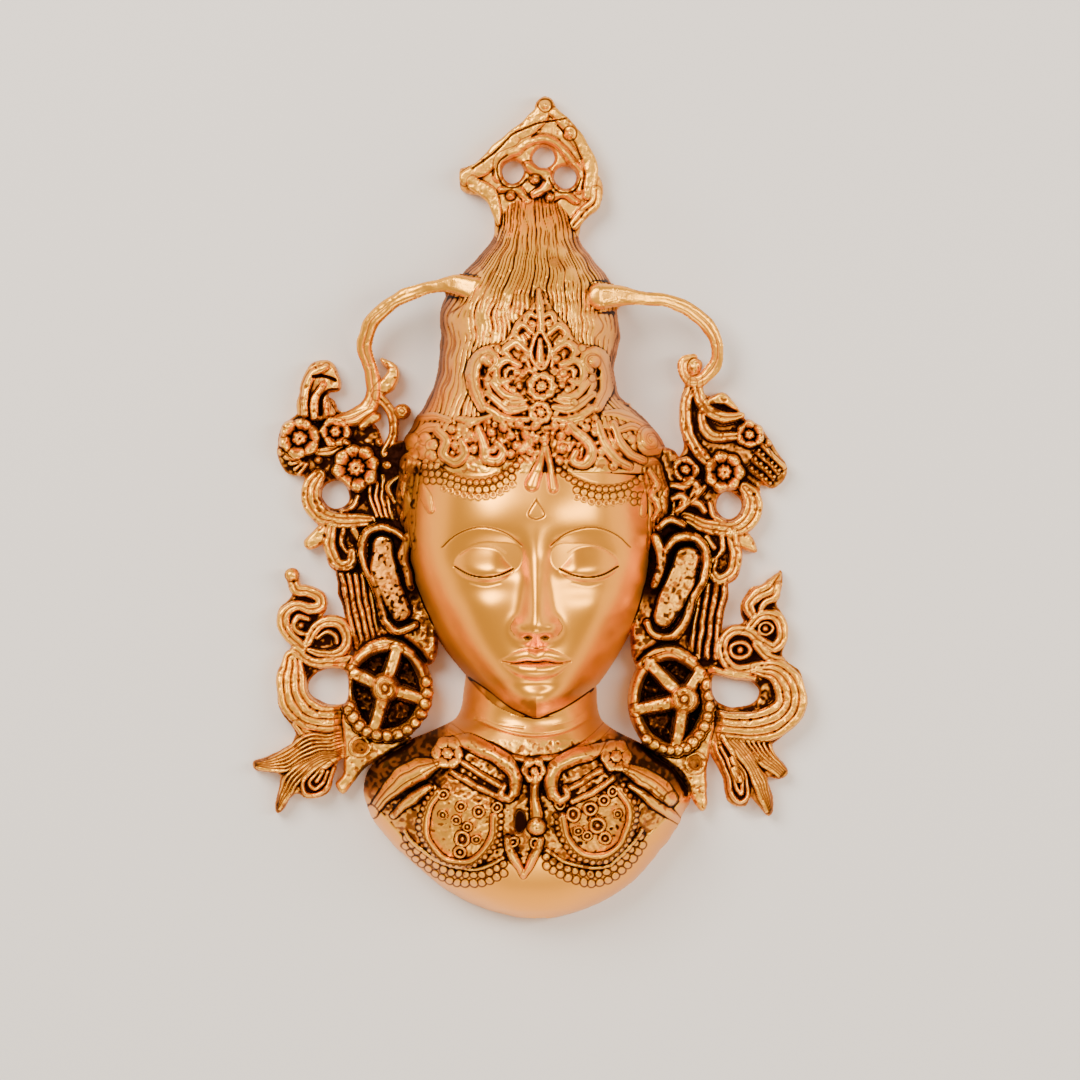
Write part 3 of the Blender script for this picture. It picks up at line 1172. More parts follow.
# Flame scrolls beside the wheels: folded ribbons over a sunk ground
flames = {
    "grounds": [
        {
            "outline": [
                (-94.6, -24.8), (-92.4, -28), (-91, -31.6), (-86, -31.6), (-81.5, -34.4), (-80.2, -38.4),
                (-81.6, -42), (-83.6, -44.6), (-78, -43.4), (-72.5, -45.2), (-70.4, -50), (-70.6, -56),
                (-72.4, -60), (-72, -70), (-72, -95), (-92, -94.5), (-93.6, -89), (-97.5, -83.6),
                (-100.2, -77.5), (-100.7, -71), (-99.2, -65), (-95.4, -60.4), (-95, -56), (-97.5, -52.6),
                (-99.8, -48), (-100.2, -43), (-99, -39.4), (-95, -35.8), (-93.8, -33), (-96.2, -30),
                (-97.2, -26.8),
            ],
            "height": 5.5,
            "dirt": 1.0,
        },
        {
            "outline": [
                (100.6, -25.4), (98.5, -27.9), (93.6, -30.4), (87.5, -33.4), (85, -38.3), (84.8, -43),
                (85.6, -45.6), (78.9, -48.1), (75.5, -53), (74.6, -60), (72, -64), (72, -95), (96.5, -94.8),
                (100, -92.8), (106.8, -87.2), (110.4, -81), (110.4, -72.6), (107.8, -65), (101.4, -59.4),
                (103, -53), (102.7, -46.3), (100.3, -41.4), (98.6, -38), (100.6, -33.4), (101.2, -28),
            ],
            "height": 5.5,
            "dirt": 1.0,
        },
    ],
    "holes": [
        [
            (-73.4, -65.2), (-82.4, -65.4), (-87.4, -68), (-88.6, -72), (-86.6, -75.8), (-81, -78),
            (-73.4, -78.2),
        ],
        [
            (73.6, -67.9), (82.6, -69.1), (89.4, -70.3), (91.8, -74), (89.8, -77.8), (82.6, -79.7),
            (76.5, -78.7), (73.4, -74.6),
        ],
    ],
    "left": [
        ridge(
            [
                (-94.6, -27.4), (-93, -32.6), (-88, -33.8), (-83.4, -36), (-83, -39.2), (-87, -40.2),
                (-92.4, -39.2), (-97, -41.8), (-97.6, -47), (-94.6, -52.2), (-90.4, -56.2),
            ],
            [3.8, 4.8, 4.8, 5, 5, 4.8, 4.8, 5, 5.2, 5.2, 4.8],
            9.5, cuts=1,
        ),
        ridge(
            [(-88.4, -44.2), (-92.4, -43.8), (-94, -47), (-91.6, -50), (-88.6, -51)],
            [2.6, 2.8, 2.8, 2.6, 2], 9.5,
        ),
        ridge(
            [
                (-88.4, -53.4), (-85.6, -48.6), (-80.6, -45.8), (-75.4, -46.4), (-72.8, -50.6),
                (-73.4, -55.6), (-77, -58.4), (-82.4, -58.6), (-87.6, -57),
            ],
            [4.8, 5.4, 5.4, 5.4, 5.2, 4.8, 4.2, 3.4, 2.6],
            9.5, cuts=1,
        ),
        ridge([(-84.4, -52.4), (-80.4, -50), (-77.2, -51.2), (-76.8, -54)], [2, 2.2, 2.4, 2], 9),
        ridge(
            [(-93.4, -57.6), (-87, -61.4), (-80, -62.4), (-72, -61.4)],
            [4.6, 4.8, 4.8, 4.4], 9.5, cuts=1,
        ),
        ridge(
            [(-94.6, -61), (-94.8, -67.5), (-94.6, -74), (-91.2, -80.4), (-84.5, -84), (-72, -84)],
            [8, 11.4, 12, 12.4, 12, 11.4], [9.5, 10.5, 11, 11, 10.5, 9.5], cuts=3, cutDepth=1.0,
        ),
        ridge([(-92, -87), (-88, -91), (-80, -92), (-72, -91)], [4, 5, 5, 4.6], 9, cuts=1),
    ],
    "right": [
        ridge(
            [(100, -27.4), (96.6, -31.8), (90.4, -35.4), (87.8, -39.4), (89.6, -43.4)],
            [2, 6, 5.4, 4.6, 4], [7, 9.5, 9.5, 9.5, 9.5], cuts=1,
        ),
        ridge([(99.6, -31), (98.2, -35.4), (93.6, -38.4), (92.4, -41.6)], [2, 3.2, 3.4, 3], 9.5),
        ridge(
            [
                (88.4, -47.4), (92.4, -43.6), (98, -43.4), (100.6, -47), (100.8, -52.6), (97.8, -56),
                (92.6, -53.6), (88, -50), (82, -49.2), (78, -53.2), (77.6, -59), (81, -63.8), (87, -65),
                (93, -63),
            ],
            [4, 4.6, 4.8, 4.8, 4.8, 4.8, 4.8, 4.8, 4.8, 5, 5.2, 5.2, 5, 4.6],
            9.5, cuts=1,
        ),
        ridge(arc(94.6, -48.6, 2.9, 2.2, 0, 330, 9), 1.7, 9.5, closed=True),
        ridge(arc(84.6, -57.2, 3.9, 3.0, 0, 330, 9), 2.2, 9.5, closed=True),
        ridge([(90.6, -54.8), (94.6, -59), (100.6, -61.4)], [3.6, 4.2, 4], 9.5, cuts=1),
        ridge(
            [(91, -64.6), (99, -65.6), (103.8, -71.5), (104, -79.4), (98.4, -85.4), (89, -87.8), (72, -87)],
            [6, 10, 12.4, 12.8, 13.4, 13, 12], [9.5, 10.5, 11, 11, 11, 10.5, 9.5], cuts=3, cutDepth=1.0,
        ),
        ridge([(73, -65.2), (82, -67), (90, -68.6)], [4, 3.4, 2.6], 9.5),
    ],
    "tips": [(-94.6, -27.2)],
    "eyes": [(84.6, -57.2), (94.6, -48.6), (-91.4, -47)],
}


def makeFlames():
    plates(flames["grounds"])
    strokes(flames["left"] + flames["right"])
    beads(flames["tips"], 2.8, 11, joins=True)
    beads(flames["eyes"], 1.6, 10)


makeFlames()
for ground in flames["grounds"] + [plate]:
    spot, depth = outlineField(ground["outline"])
    polish[spot] = np.where((depth > 0) & (grime[spot] < 0.3), np.maximum(polish[spot], 0.3), polish[spot])

# Leaf fans: fine ridges that sweep from the scrolls out to the prongs, and a lobe of nested ridges
fans = {
    "grounds": [
        {
            "outline": [
                (-72, -89), (-92, -90), (-95.5, -94.5), (-100, -97.5), (-106, -100), (-110.2, -102.4),
                (-110.2, -105.2), (-104, -106.2), (-99.3, -106.8), (-99.8, -112), (-101.6, -119),
                (-100.6, -122.4), (-98, -121.2), (-95.5, -116.2), (-93, -114.6), (-89, -116.2),
                (-85, -116.5), (-80.5, -114.5), (-78.3, -110), (-77, -104), (-74, -98),
            ],
            "height": 7.4,
            "dirt": 0.8,
            "round": 2.2,
        },
        {
            "outline": [
                (72, -89), (72.2, -98.2), (77.1, -108), (78.9, -116.6), (82.6, -119.6), (86.8, -119.3),
                (88.7, -115.8), (92, -119.6), (95.4, -123.4), (97.4, -121.5), (96.8, -112.9), (95, -108.4),
                (99.7, -109), (103.4, -106.2), (102.1, -102.8), (98.5, -99.3), (97, -94.6), (97, -89),
            ],
            "height": 7.4,
            "dirt": 0.55,
            "round": 2.2,
        },
    ],
    "sweeps": [
        (
            [(-73, -90.6), (-90, -92), (-98, -98), (-108.6, -102.6)],
            [(-73, -96.6), (-88, -100), (-97.6, -105), (-108.6, -104.6)],
            6,
        ),
        (
            [(-73, -97.4), (-88, -101.6), (-96.8, -107.6), (-100, -120)],
            [(-74.5, -99.6), (-84.5, -103), (-92.4, -110), (-99.4, -120.6)],
            4,
        ),
        (
            [(95.6, -94.4), (97.4, -98.6), (102.4, -104.6)],
            [(84.6, -93.4), (90.6, -100.6), (99.6, -107.6)],
            6,
        ),
        (
            [(83.4, -93.4), (89.6, -101.4), (94.6, -110), (96.2, -121.4)],
            [(77.8, -93.4), (84.6, -101), (89.6, -110), (94.8, -121.4)],
            5,
        ),
    ],
    "lobes": [
        [
            (-76, -100.6), (-84.6, -104.4), (-90, -109.6), (-89.6, -114), (-84.4, -114.8), (-80, -111),
            (-77.6, -104),
        ],
        [(-79, -102.4), (-84.6, -106.4), (-87.4, -110.4), (-85.4, -112.4), (-82, -110), (-80, -105.4)],
        [(-82, -105.6), (-84.6, -109.4)],
        [
            (73.6, -91), (75.4, -98.6), (79.4, -107), (80.8, -114.6), (84, -117.8), (87, -115.6),
            (86, -108), (81.4, -99), (77.4, -92),
        ],
        [(76.6, -96), (80.4, -104), (82.8, -112.6), (84.6, -114.4), (84.4, -108.4), (80.6, -100)],
        [(81.6, -104), (83.4, -109.6)],
    ],
}


def makeFans():
    plates(fans["grounds"])
    for first, last, count in fans["sweeps"]:
        ribs(first, last, count, [1.7, 1.9, 1.8, 1.2], [9.6, 10.6, 10.2, 8], seam=0.95)
    strokes([ridge(path, 2.0, 10.2) for path in fans["lobes"]], kind="round", seam=0.95)
    for ground in fans["grounds"]:
        area, depth = outlineField(ground["outline"])
        polish[area] = np.where(depth > 0, np.maximum(polish[area], 0.2), polish[area])


makeFans()
print("mask: flame scrolls and fans done")


# Spoked wheel earrings with beads, and pendants below them
wheels = [
    {
        "hub": (-57.2, -72),
        "centre": (-56.8, -73.2),
        "reach": (15.9, 17.6),
        "spokes": [75, 154, 252, 347],
        "beads": arc(-56.6, -73.4, 16.4, 18.0, 200, 372, 13),
        "pendant": [
            (-74.8, -62), (-71.6, -63), (-72.4, -74), (-70, -84), (-62, -90), (-52, -91), (-47, -92),
            (-51, -96), (-58, -99.5), (-65, -104.5), (-70, -110), (-74.6, -114.6), (-77.2, -110.6),
            (-74.4, -107), (-73.8, -98), (-74.6, -84),
        ],
        "ring": (-67.2, -95.6, 2.6),
        "extra": [[(-68.4, -60.4), (-62, -54.8), (-54, -53.6), (-46.4, -58.4)]],
    },
    {
        "hub": (61.8, -76.6),
        "centre": (56.4, -77.4),
        "reach": (14.4, 18.6),
        "spokes": [38, 126, 191, 278],
        "beads": arc(56.6, -77.8, 15.2, 19.2, 20, -130, 13),
        "pendant": [
            (48, -95), (60, -96), (68, -92), (71, -82), (74.4, -84), (73, -94), (71.4, -102), (71, -112),
            (71, -119), (69.4, -121.4), (67, -119.5), (63, -112), (57.6, -104.5), (51, -99.5),
        ],
        "ring": (66.2, -102.2, 2.6),
        "extra": [[(44, -62.6), (50, -57.6), (58, -56.8), (65.6, -61.4)]],
    },
]


def makeWheels():
    for wheel in wheels:
        x, y = wheel["centre"]
        across, up = wheel["reach"]
        # the shoulder sinks behind the wheel and its pendant
        spot, far, _ = around(x, y, across + 7, up / across)
        area, depth = outlineField(wheel["pendant"])
        for where, deep in ((spot, across + 2.5 - far), (area, depth)):
            near = softStep(-3.5, -0.3, deep)
            front[where] -= near * np.maximum(front[where] - 7, 0)
        plates([{"outline": wheel["pendant"], "height": 9, "dirt": 0.15}])
        area, far, _ = around(x, y, across + 1, up / across)
        well = far < across - 0.5
        front[area] = np.where(well, 2.8 + 0.5 * mottle[area], front[area])
        inside[area] = np.maximum(inside[area], across - far)
        back[area] = np.where(far < across, 0, back[area])
        grime[area] = np.where(well, 0.92 - 0.3 * softStep(0.5, 1.8, mottle[area]), grime[area])
        rim = arc(x, y, across, up, 0, 345, 18)
        strokes([ridge(rim, 5.2, 12.5, closed=True, kind="round", edge=0.35, seam=1.0)])
        strokes([ridge(path, 3.6, 12, kind="round") for path in wheel["extra"]])
        hubX, hubY = wheel["hub"]
        for angle in wheel["spokes"]:
            turn = math.radians(angle)
            tip = (x + across * math.cos(turn), y + up * math.sin(turn))
            strokes([ridge([(hubX, hubY), tip], [5.6, 5.2], [14, 12.5], edge=0.5, seam=1.0)])
        strokes([ridge([(hubX - 0.2, hubY), (hubX + 0.2, hubY)], 10.4, 15.5, edge=0.7)])
        rings([(hubX, hubY, 3.9)], 16.6, None)
        beads([(hubX, hubY)], 1.4, 17.2, joins=True)
        beads(wheel["beads"], 2.25, 13.8, joins=True, pit=0.15)
        rings([wheel["ring"]], 10.6, None)
        ringX, ringY, _ = wheel["ring"]
        rings([(ringX, ringY, 4.4)], 10.2, None, thick=0.3, eye=False)
    beads([(-73.2, -66), (-73.2, -71), (-73.2, -76), (-72.4, -81)], 1.6, 11)


makeWheels()
print("mask: wheels done")


# Collar, clasp, shoulder ribbons, medallions and festoons of the bust
bust = {
    "collar": [(-31, -88), (-22, -93), (-11, -97.5), (0, -99.5), (12, -98.2), (22, -94), (32, -86.5)],
    "clasp": [
        ridge(
            [(-30, -92.6), (-24, -92.6), (-16, -96), (-9, -100.4), (-5.4, -106), (-5.6, -112)],
            [3.6, 6.4, 6.6, 6.8, 6, 4.6], [3, 6, 7, 7.5, 6.5, 5],
        ),
        ridge(
            [(-5.6, -111), (-8, -114.6), (-11, -112.6), (-9.8, -109.4)],
            [4, 3.8, 3.4, 2.6], [5, 5, 4.6, 4],
        ),
        ridge(
            [(31, -94.6), (25, -96.4), (17, -98.6), (10.6, -102), (8.6, -107.6), (9.4, -113)],
            [3.6, 6.4, 6.6, 6.4, 6, 4.6], [3, 6, 7, 7.5, 6.5, 5],
        ),
        ridge([(9.4, -112), (12, -115.4), (15, -113.6), (14, -110.4)], [4, 3.8, 3.4, 2.6], [5, 5, 4.6, 4]),
        ridge([(2.6, -105), (2.4, -114), (3, -122)], [4.6, 3.6, 5], [7, 5.4, 6]),
    ],
    "medallions": [
        [
            (-36, -112), (-40.5, -120), (-41, -130), (-35, -138.5), (-27, -141), (-18.5, -137.5),
            (-14, -130), (-13, -122),
        ],
        [
            (13, -122), (14.5, -130), (19.5, -136.5), (27.5, -139), (35, -136), (39.5, -128), (40, -119),
            (36, -111.5),
        ],
    ],
    "ringsLeft": [
        (-33.5, -113, 2.2), (-26.5, -117.5, 2.2), (-19.5, -120, 2.5), (-28.5, -123, 2.0),
        (-24, -125.5, 2.0), (-12.5, -118, 2.2), (-26, -130.5, 3.2), (-27, -136, 2.6), (-34, -121, 1.8),
        (-20.5, -131, 1.8),
    ],
    "ringsRight": [
        (33, -112, 2.2), (29.5, -115.5, 2.6), (24, -119, 3.0), (17.5, -121, 2.8), (12, -117, 2.2),
        (27, -125.5, 3.2), (30, -130.5, 2.6), (23, -129.5, 2.0), (35, -121, 1.8), (19.5, -127.5, 1.8),
    ],
    "groundBelow": [
        (-64, -116), (-48, -134), (-28, -146), (-10, -141), (4, -137), (14, -142), (26, -146), (45, -133),
        (62, -116),
    ],
    "groundAbove": [(-60, -98), (-31, -89), (-15, -97), (0, -100.5), (16, -97.5), (32, -89), (60, -98)],
    "festoons": [
        [(-49, -135), (-44.5, -141), (-37, -146), (-28, -148.8), (-19, -148.8), (-10, -144.5)],
        [(7, -141.5), (14, -146), (23, -148.5), (31, -147.8), (38, -143), (45, -134)],
    ],
    "neckLine": [[(-21, -84), (-8, -88.5), (3, -90), (14, -88.5), (24, -84)]],
    "neckRings": [[(-25, -78.5), (-15, -85), (-2, -87)], [(25, -79), (18, -84), (10, -86)]],
    "scarves": [
        ridge([(-27, -100), (-19, -105), (-11, -109.5)], 2.6, 2.4),
        ridge([(-31, -104), (-21, -109.5), (-10, -115)], 2.6, 2.4),
        ridge([(28, -104), (20, -108.5), (14, -112)], 2.6, 2.4),
        ridge([(33, -107), (25, -112), (17, -116)], 2.6, 2.4),
        ridge(
            [(-36, -101), (-43, -103.6), (-50, -108), (-57, -115), (-62.4, -121)],
            [4, 9.5, 9, 5, 4.6], [6, 9.5, 9, 6.5, 6.5], cuts=2, cutDepth=0.7, seam=1.0,
        ),
        ridge([(-39, -110), (-46, -115), (-54, -122.5)], [2.6, 4.6, 2.6], [4, 5, 4], seam=1.0),
        ridge(
            [(38, -103), (45, -107), (52, -112), (55.6, -115.6)],
            [4, 7.6, 8, 5.4], [6, 9, 9, 7.5], cuts=2, cutDepth=0.7, seam=1.0,
        ),
        ridge(
            [(40, -109.6), (48, -115.4), (55, -121), (60, -125.4)],
            [2.6, 4.4, 4.4, 2.4], [4, 5.5, 5.5, 4], seam=1.0,
        ),
        ridge([(-8, -130.5), (-6.4, -137), (-2, -145.5)], [3.4, 4.2, 2.4], 3.6),
        ridge([(4.6, -131.5), (1.8, -138), (-2, -145.5)], [3.4, 4.2, 2.4], 3.6),
    ],
    "scarfTips": [(-62.6, -121.4), (56, -115.8)],
    "leafRings": [(-5.8, -131.6, 2.2), (2.6, -132.4, 2.0)],
    "flowers": [
        {"at": (-32, -97), "radius": 6.2, "height": 4.6, "petals": 6},
        {"at": (34.5, -98.5), "radius": 6.2, "height": 4.6, "petals": 6},
        {"at": (2, -103.5), "radius": 5.0, "height": 6.4, "petals": 6},
    ],
    "drop": [(3, -126)],
}


def makeBust():
    ground = softBlur(bustGround, 1.0)
    # stippled sunk ground between the collar and the polished lower edge
    lower, upper = (np.interp(xs, *zip(*bust[name]))[None, :] for name in ("groundBelow", "groundAbove"))
    field = softStep(
        0, 1.2, gridY - lower,
    ) * softStep(0, 1.0, upper - gridY) * softStep(0, 3, bustIn) * (headIn < 0)
    stipple = valueNoise(0.9)
    front[:] += field * (-0.9 + 0.28 * np.clip(stipple, -1.5, 1.5))
    grime[:] = np.maximum(grime, field * (0.34 + 0.45 * softStep(0.4, -0.8, stipple)))
    shoulder = softStep(27, 36, np.abs(gridX)) * softStep(-119, -110, gridY) * softStep(-84, -87, gridY)
    shoulder = shoulder * (bustIn > 0) * (headIn < 0)
    grime[:] = np.maximum(grime, shoulder * (0.86 + 0.14 * softStep(0.5, -0.5, stipple)))
    front[:] += shoulder * 0.3 * (1 - steep) * np.clip(stipple, -1.5, 1.5)
    options = {"on": ground, "blend": 0.3, "sink": 1.0, "kind": "round"}
    strokes([ridge(bust["collar"], 3.0, 2.2)], **options)
    engrave(bust["neckLine"], 1.4, 0.7, 0.35)
    engrave(bust["neckRings"], 0.9, 0.3, 0.2)
    for path in bust["medallions"]:
        area, depth = outlineField(path)
        flecked = (0.12 if path[0][0] < 0 else 0.38) + 0.7 * softStep(1.0, 1.9, stipple[area])
        grime[area] = np.where(depth > 0, flecked, grime[area])
        front[area] = np.where(depth > 0, ground[area] - 0.5 + 0.1 * stipple[area], front[area])
        polish[area] = np.where(depth > 0, 0.4, polish[area])
        strokes([ridge(path, 4.2, 3.0, cuts=1, cutDepth=0.7)], **options)
        middleX = sum(x for x, _ in path) / len(path)
        middleY = sum(y for _, y in path) / len(path)
        shrunk = [(middleX + (x - middleX) * 1.14, middleY + (y - middleY) * 1.12) for x, y in path]
        beads(evenly(shrunk, 2.6), 1.05, 1.5, ground)
    for places in (bust["ringsLeft"], bust["ringsRight"]):
        rings(places, 2.3, ground)
        beads([(x, y) for x, y, _ in places], 0.9, 1.9, ground)
    for path in bust["festoons"]:
        beads(evenly(path, 3.3), 1.6, 1.9, ground, pit=0.3)
        beads(evenly([(x * 0.985, y + 3.6) for x, y in path], 3.3), 1.5, 1.8, ground, pit=0.3)
        strokes([ridge([(x, y + 6.2) for x, y in path], 1.5, 1.4)], **options)
    strokes(bust["scarves"], **options)
    beads(bust["scarfTips"], 3.0, 6.4, ground)
    rings(bust["leafRings"], 2.6, ground)
    strokes(bust["clasp"], **options)
    flowers(bust["flowers"], on=ground)
    beads(bust["drop"], 3.7, 6.2, ground)
    hole = window(-8, 0, -130, -118)
    far = np.hypot((gridX[hole] + 3.5) / 2.6, (gridY[hole] + 124) / 5.0)
    shade = softStep(1.1, 0.8, far) * (front[hole] < ground[hole] + 1.2)
    front[hole] -= 3.0 * shade
    grime[hole] = np.maximum(grime[hole], shade)
    lowerEdge = softStep(0, -1.5, gridY - lower) * (bustIn > -edgeSkirt)
    polish[:] = np.maximum(polish, lowerEdge * 0.9)


makeBust()
print("mask: bust done")


# Holes right through, cut last: round ones and the eyes of the flame scrolls
def cutHole(area, depth):
    soft = np.sqrt(np.clip(-depth / 1.3, 0, 1))
    inside[area] = np.where(depth > -3, np.minimum(inside[area], -depth), inside[area])
    front[area] = np.where(depth > -1.3, front[area] * (0.62 + 0.38 * soft), front[area])


for holeX, holeY, holeRadius in plate["holes"] + clusters["holes"]:
    spot, far, _ = around(holeX, holeY, holeRadius + 3)
    cutHole(spot, holeRadius - far)
for hole in flames["holes"]:
    cutHole(*outlineField(hole))

# Sides that nothing rubs keep a brown tarnish
leftHalf = gridX < faceAxis
sideways = np.where(leftHalf, 0.8 * softStep(13, 4, headIn), 0.36 * softStep(9, 1, headIn))
sideways = sideways * (gridY < 16) * (headIn > 0)
neckSide = softStep(14, 24, np.abs(gridX - 1)) * (gridY > -92) * (gridY < -56) * (headIn < 0) * (bustIn > 0)
neckSide = neckSide * 0.5
hairSide = softStep(11, 0, hairIn) * (hairIn > 0) * (gridY > 24) * (polish < 0.3)
hairSide = hairSide * np.where(leftHalf, 0.8, 0.6)
tarnish = np.maximum(np.maximum(sideways, neckSide), hairSide) * (
    1 + 0.5 * (1 - steep) * softBlur(mottle, 1.5)
)
grime = np.maximum(grime, np.clip(tarnish, 0, 0.82))

# Cast skin: small dents and pits wherever the casting isn't buffed
skin = {"dents": 0.1, "pits": 0.28, "flecks": 0.8}
rough = np.clip(1 - 1.15 * polish, 0, 1) * (1 - 0.85 * steep)
pits = np.maximum(valueNoise(0.8) - 0.8, 0)
front += rough * (skin["dents"] * valueNoise(2.0, 2) - skin["pits"] * pits)
worked = 1 - 0.7 * softStep(2, 6, bodyIn) * (gridY > 40)
flecks = softStep(0.3, 1.2, pits) + 0.9 * softStep(0.9, 1.9, valueNoise(1.7) + 0.45 * valueNoise(9))
grime = np.maximum(grime, skin["flecks"] * rough * worked * np.clip(flecks, 0, 1))

# Back of the casting: hollow under the head, hair and bust, and a soft echo of the front elsewhere
filled = np.where(inside > -edgeSkirt, np.maximum(front, grid["rim"]), 0)
weight = softBlur((inside > 0).astype(float), 2.5)
echo = softBlur(filled, 2.5) / np.maximum(weight, 0.05) - 5.0
plain = np.clip(echo, 0, None) * softStep(1.6, 4.0, inside)
back = np.where(back > 50, 0, back)
back = np.maximum(back, np.where(bodyIn > 0, hollow, np.where(back > 0, back, np.minimum(plain, 3.0))))
front = np.maximum(front, back + grid["rim"])

# How sunk or raised each point is beside its neighbourhood, for the patina
present = (inside > 0).astype(float)
solidFront = np.where(inside > 0, front, 0)


def hollowness(radius):
    nearby = softBlur(present, radius)
    mean = softBlur(solidFront, radius) / np.maximum(nearby, 0.05)
    return (mean - front) / radius


cavity = np.clip(0.55 * hollowness(2.4) + 0.65 * hollowness(0.9), -1.5, 1.5)
edgeDistance = inside / np.maximum(np.hypot(*np.gradient(inside, step)), 1)
cavity = np.where(cavity > 0, cavity * softStep(0.2, 2.4, edgeDistance), cavity)
# the walls below a rim carry its tone, so it is evened out there
rimShare = softStep(1.0, 0.2, inside) * present * (bodyIn < 0)
nearby = np.maximum(softBlur(present, 1.8), 0.05)
grime += rimShare * (0.35 + 0.35 * softBlur(grime * present, 1.8) / nearby - grime)
cavity += rimShare * (softBlur(cavity * present, 1.8) / nearby - cavity)
# the headdress is handled most
rubbed = softStep(14, 18, gridY) * softStep(82, 74, gridY) * softStep(1, 4, bodyIn)
grime *= 1 - 0.35 * rubbed
cavity -= 0.35 * rubbed * np.maximum(cavity, 0)
print("mask: surface fields done")


# The surface is cut into cells; cells on the outline have their corners moved onto it
centre = 0.25 * (inside[:-1, :-1] + inside[1:, :-1] + inside[:-1, 1:] + inside[1:, 1:])
cells = centre > 0
touch = np.zeros(gridX.shape, int)
for dj in (0, 1):
    for di in (0, 1):
        touch[dj:dj + cells.shape[0], di:di + cells.shape[1]] += cells
onOutline = (touch > 0) & (touch < 4)
slopeY, slopeX = np.gradient(inside, step)
steepness = np.maximum(slopeX**2 + slopeY**2, 0.2)
moveX = np.clip(-inside * slopeX / steepness, -0.6 * step, 0.6 * step)
moveY = np.clip(-inside * slopeY / steepness, -0.6 * step, 0.6 * step)
pointX = np.where(onOutline, placeX + moveX, placeX)
pointY = np.where(onOutline, placeY + moveY, placeY)

# Which piece each block of cells belongs to
size = grid["block"]
blocksY, blocksX = cells.shape[0] // size, cells.shape[1] // size
mid = slice(size // 2, None, size)
blockX, blockY = placeX[mid, mid][:blocksY, :blocksX], placeY[mid, mid][:blocksY, :blocksX]
inHead = headIn[mid, mid][:blocksY, :blocksX] > 0
inHair = hairIn[mid, mid][:blocksY, :blocksX] > 0
inBust = bustIn[mid, mid][:blocksY, :blocksX] > 0
owner = np.where(blockX < 0, 3, 4)
owner = np.where(inBust & (blockY < -84), 2, owner)
owner = np.where(inHead | (inBust & (blockY >= -84)), 1, owner)
owner = np.where(inHair | (inHead & (blockY > 13)), 0, owner)
owner = np.where(blockY > 100, 0, owner)
cellOwner = np.kron(owner, np.ones((size, size), int))


def linearOf(hexColour):
    values = [int(hexColour[k:k + 2], 16) / 255 for k in (1, 3, 5)]
    return [v / 12.92 if v <= 0.04045 else ((v + 0.055) / 1.055) ** 2.4 for v in values] + [1.0]


def addNode(tree, kind, settings=None, links=None, values=None):
    node = tree.nodes.new(kind)
    for name, value in (settings or {}).items():
        setattr(node, name, value)
    for name, value in (values or {}).items():
        node.inputs[name].default_value = value
    for name, source in (links or {}).items():
        tree.links.new(source, node.inputs[name])
    return node


def rampOf(node, stops):
    ramp = node.color_ramp
    while len(ramp.elements) < len(stops):
        ramp.elements.new(0.5)
    for element, (place, colour) in zip(ramp.elements, stops):
        element.position = place
        element.color = colour
    return node


# Cast brass, hand-finished: buffed bright on the face and high spots, with the dark sulphide patina
# left in the recesses. The eye gets mirror gold beside brown-black lines, never one flat yellow.
castBrass = {
    "polished": "#FFA82B",
    "rubbed": "#FCB43A",
    "warm": "#BC6B1D",
    "patina": "#280F07",
    "grainSize": 0.8,  # mm, sand and wax grain of the cast skin
    "stainSize": 9.0,  # mm, patches of heavier patina
    "stainRange": (-0.27, 0.28),
    "recessRange": (-0.02, 0.42),  # how sunk a place is where the patina starts and where it is whole
    "tones": [(0.0, "rubbed"), (0.28, "rubbed"), (0.6, "warm"), (1.0, "patina")],
    "buffing": 0.32,  # how much buffing takes off the patina
    "roughness": (0.27, 0.62),  # clean brass and whole patina
    "haze": 0.02,
    "grainRoughness": 0.06,
    "bump": 0.3,
    "buffedBump": 0.015,
    "bumpDepth": 0.3,  # mm
}


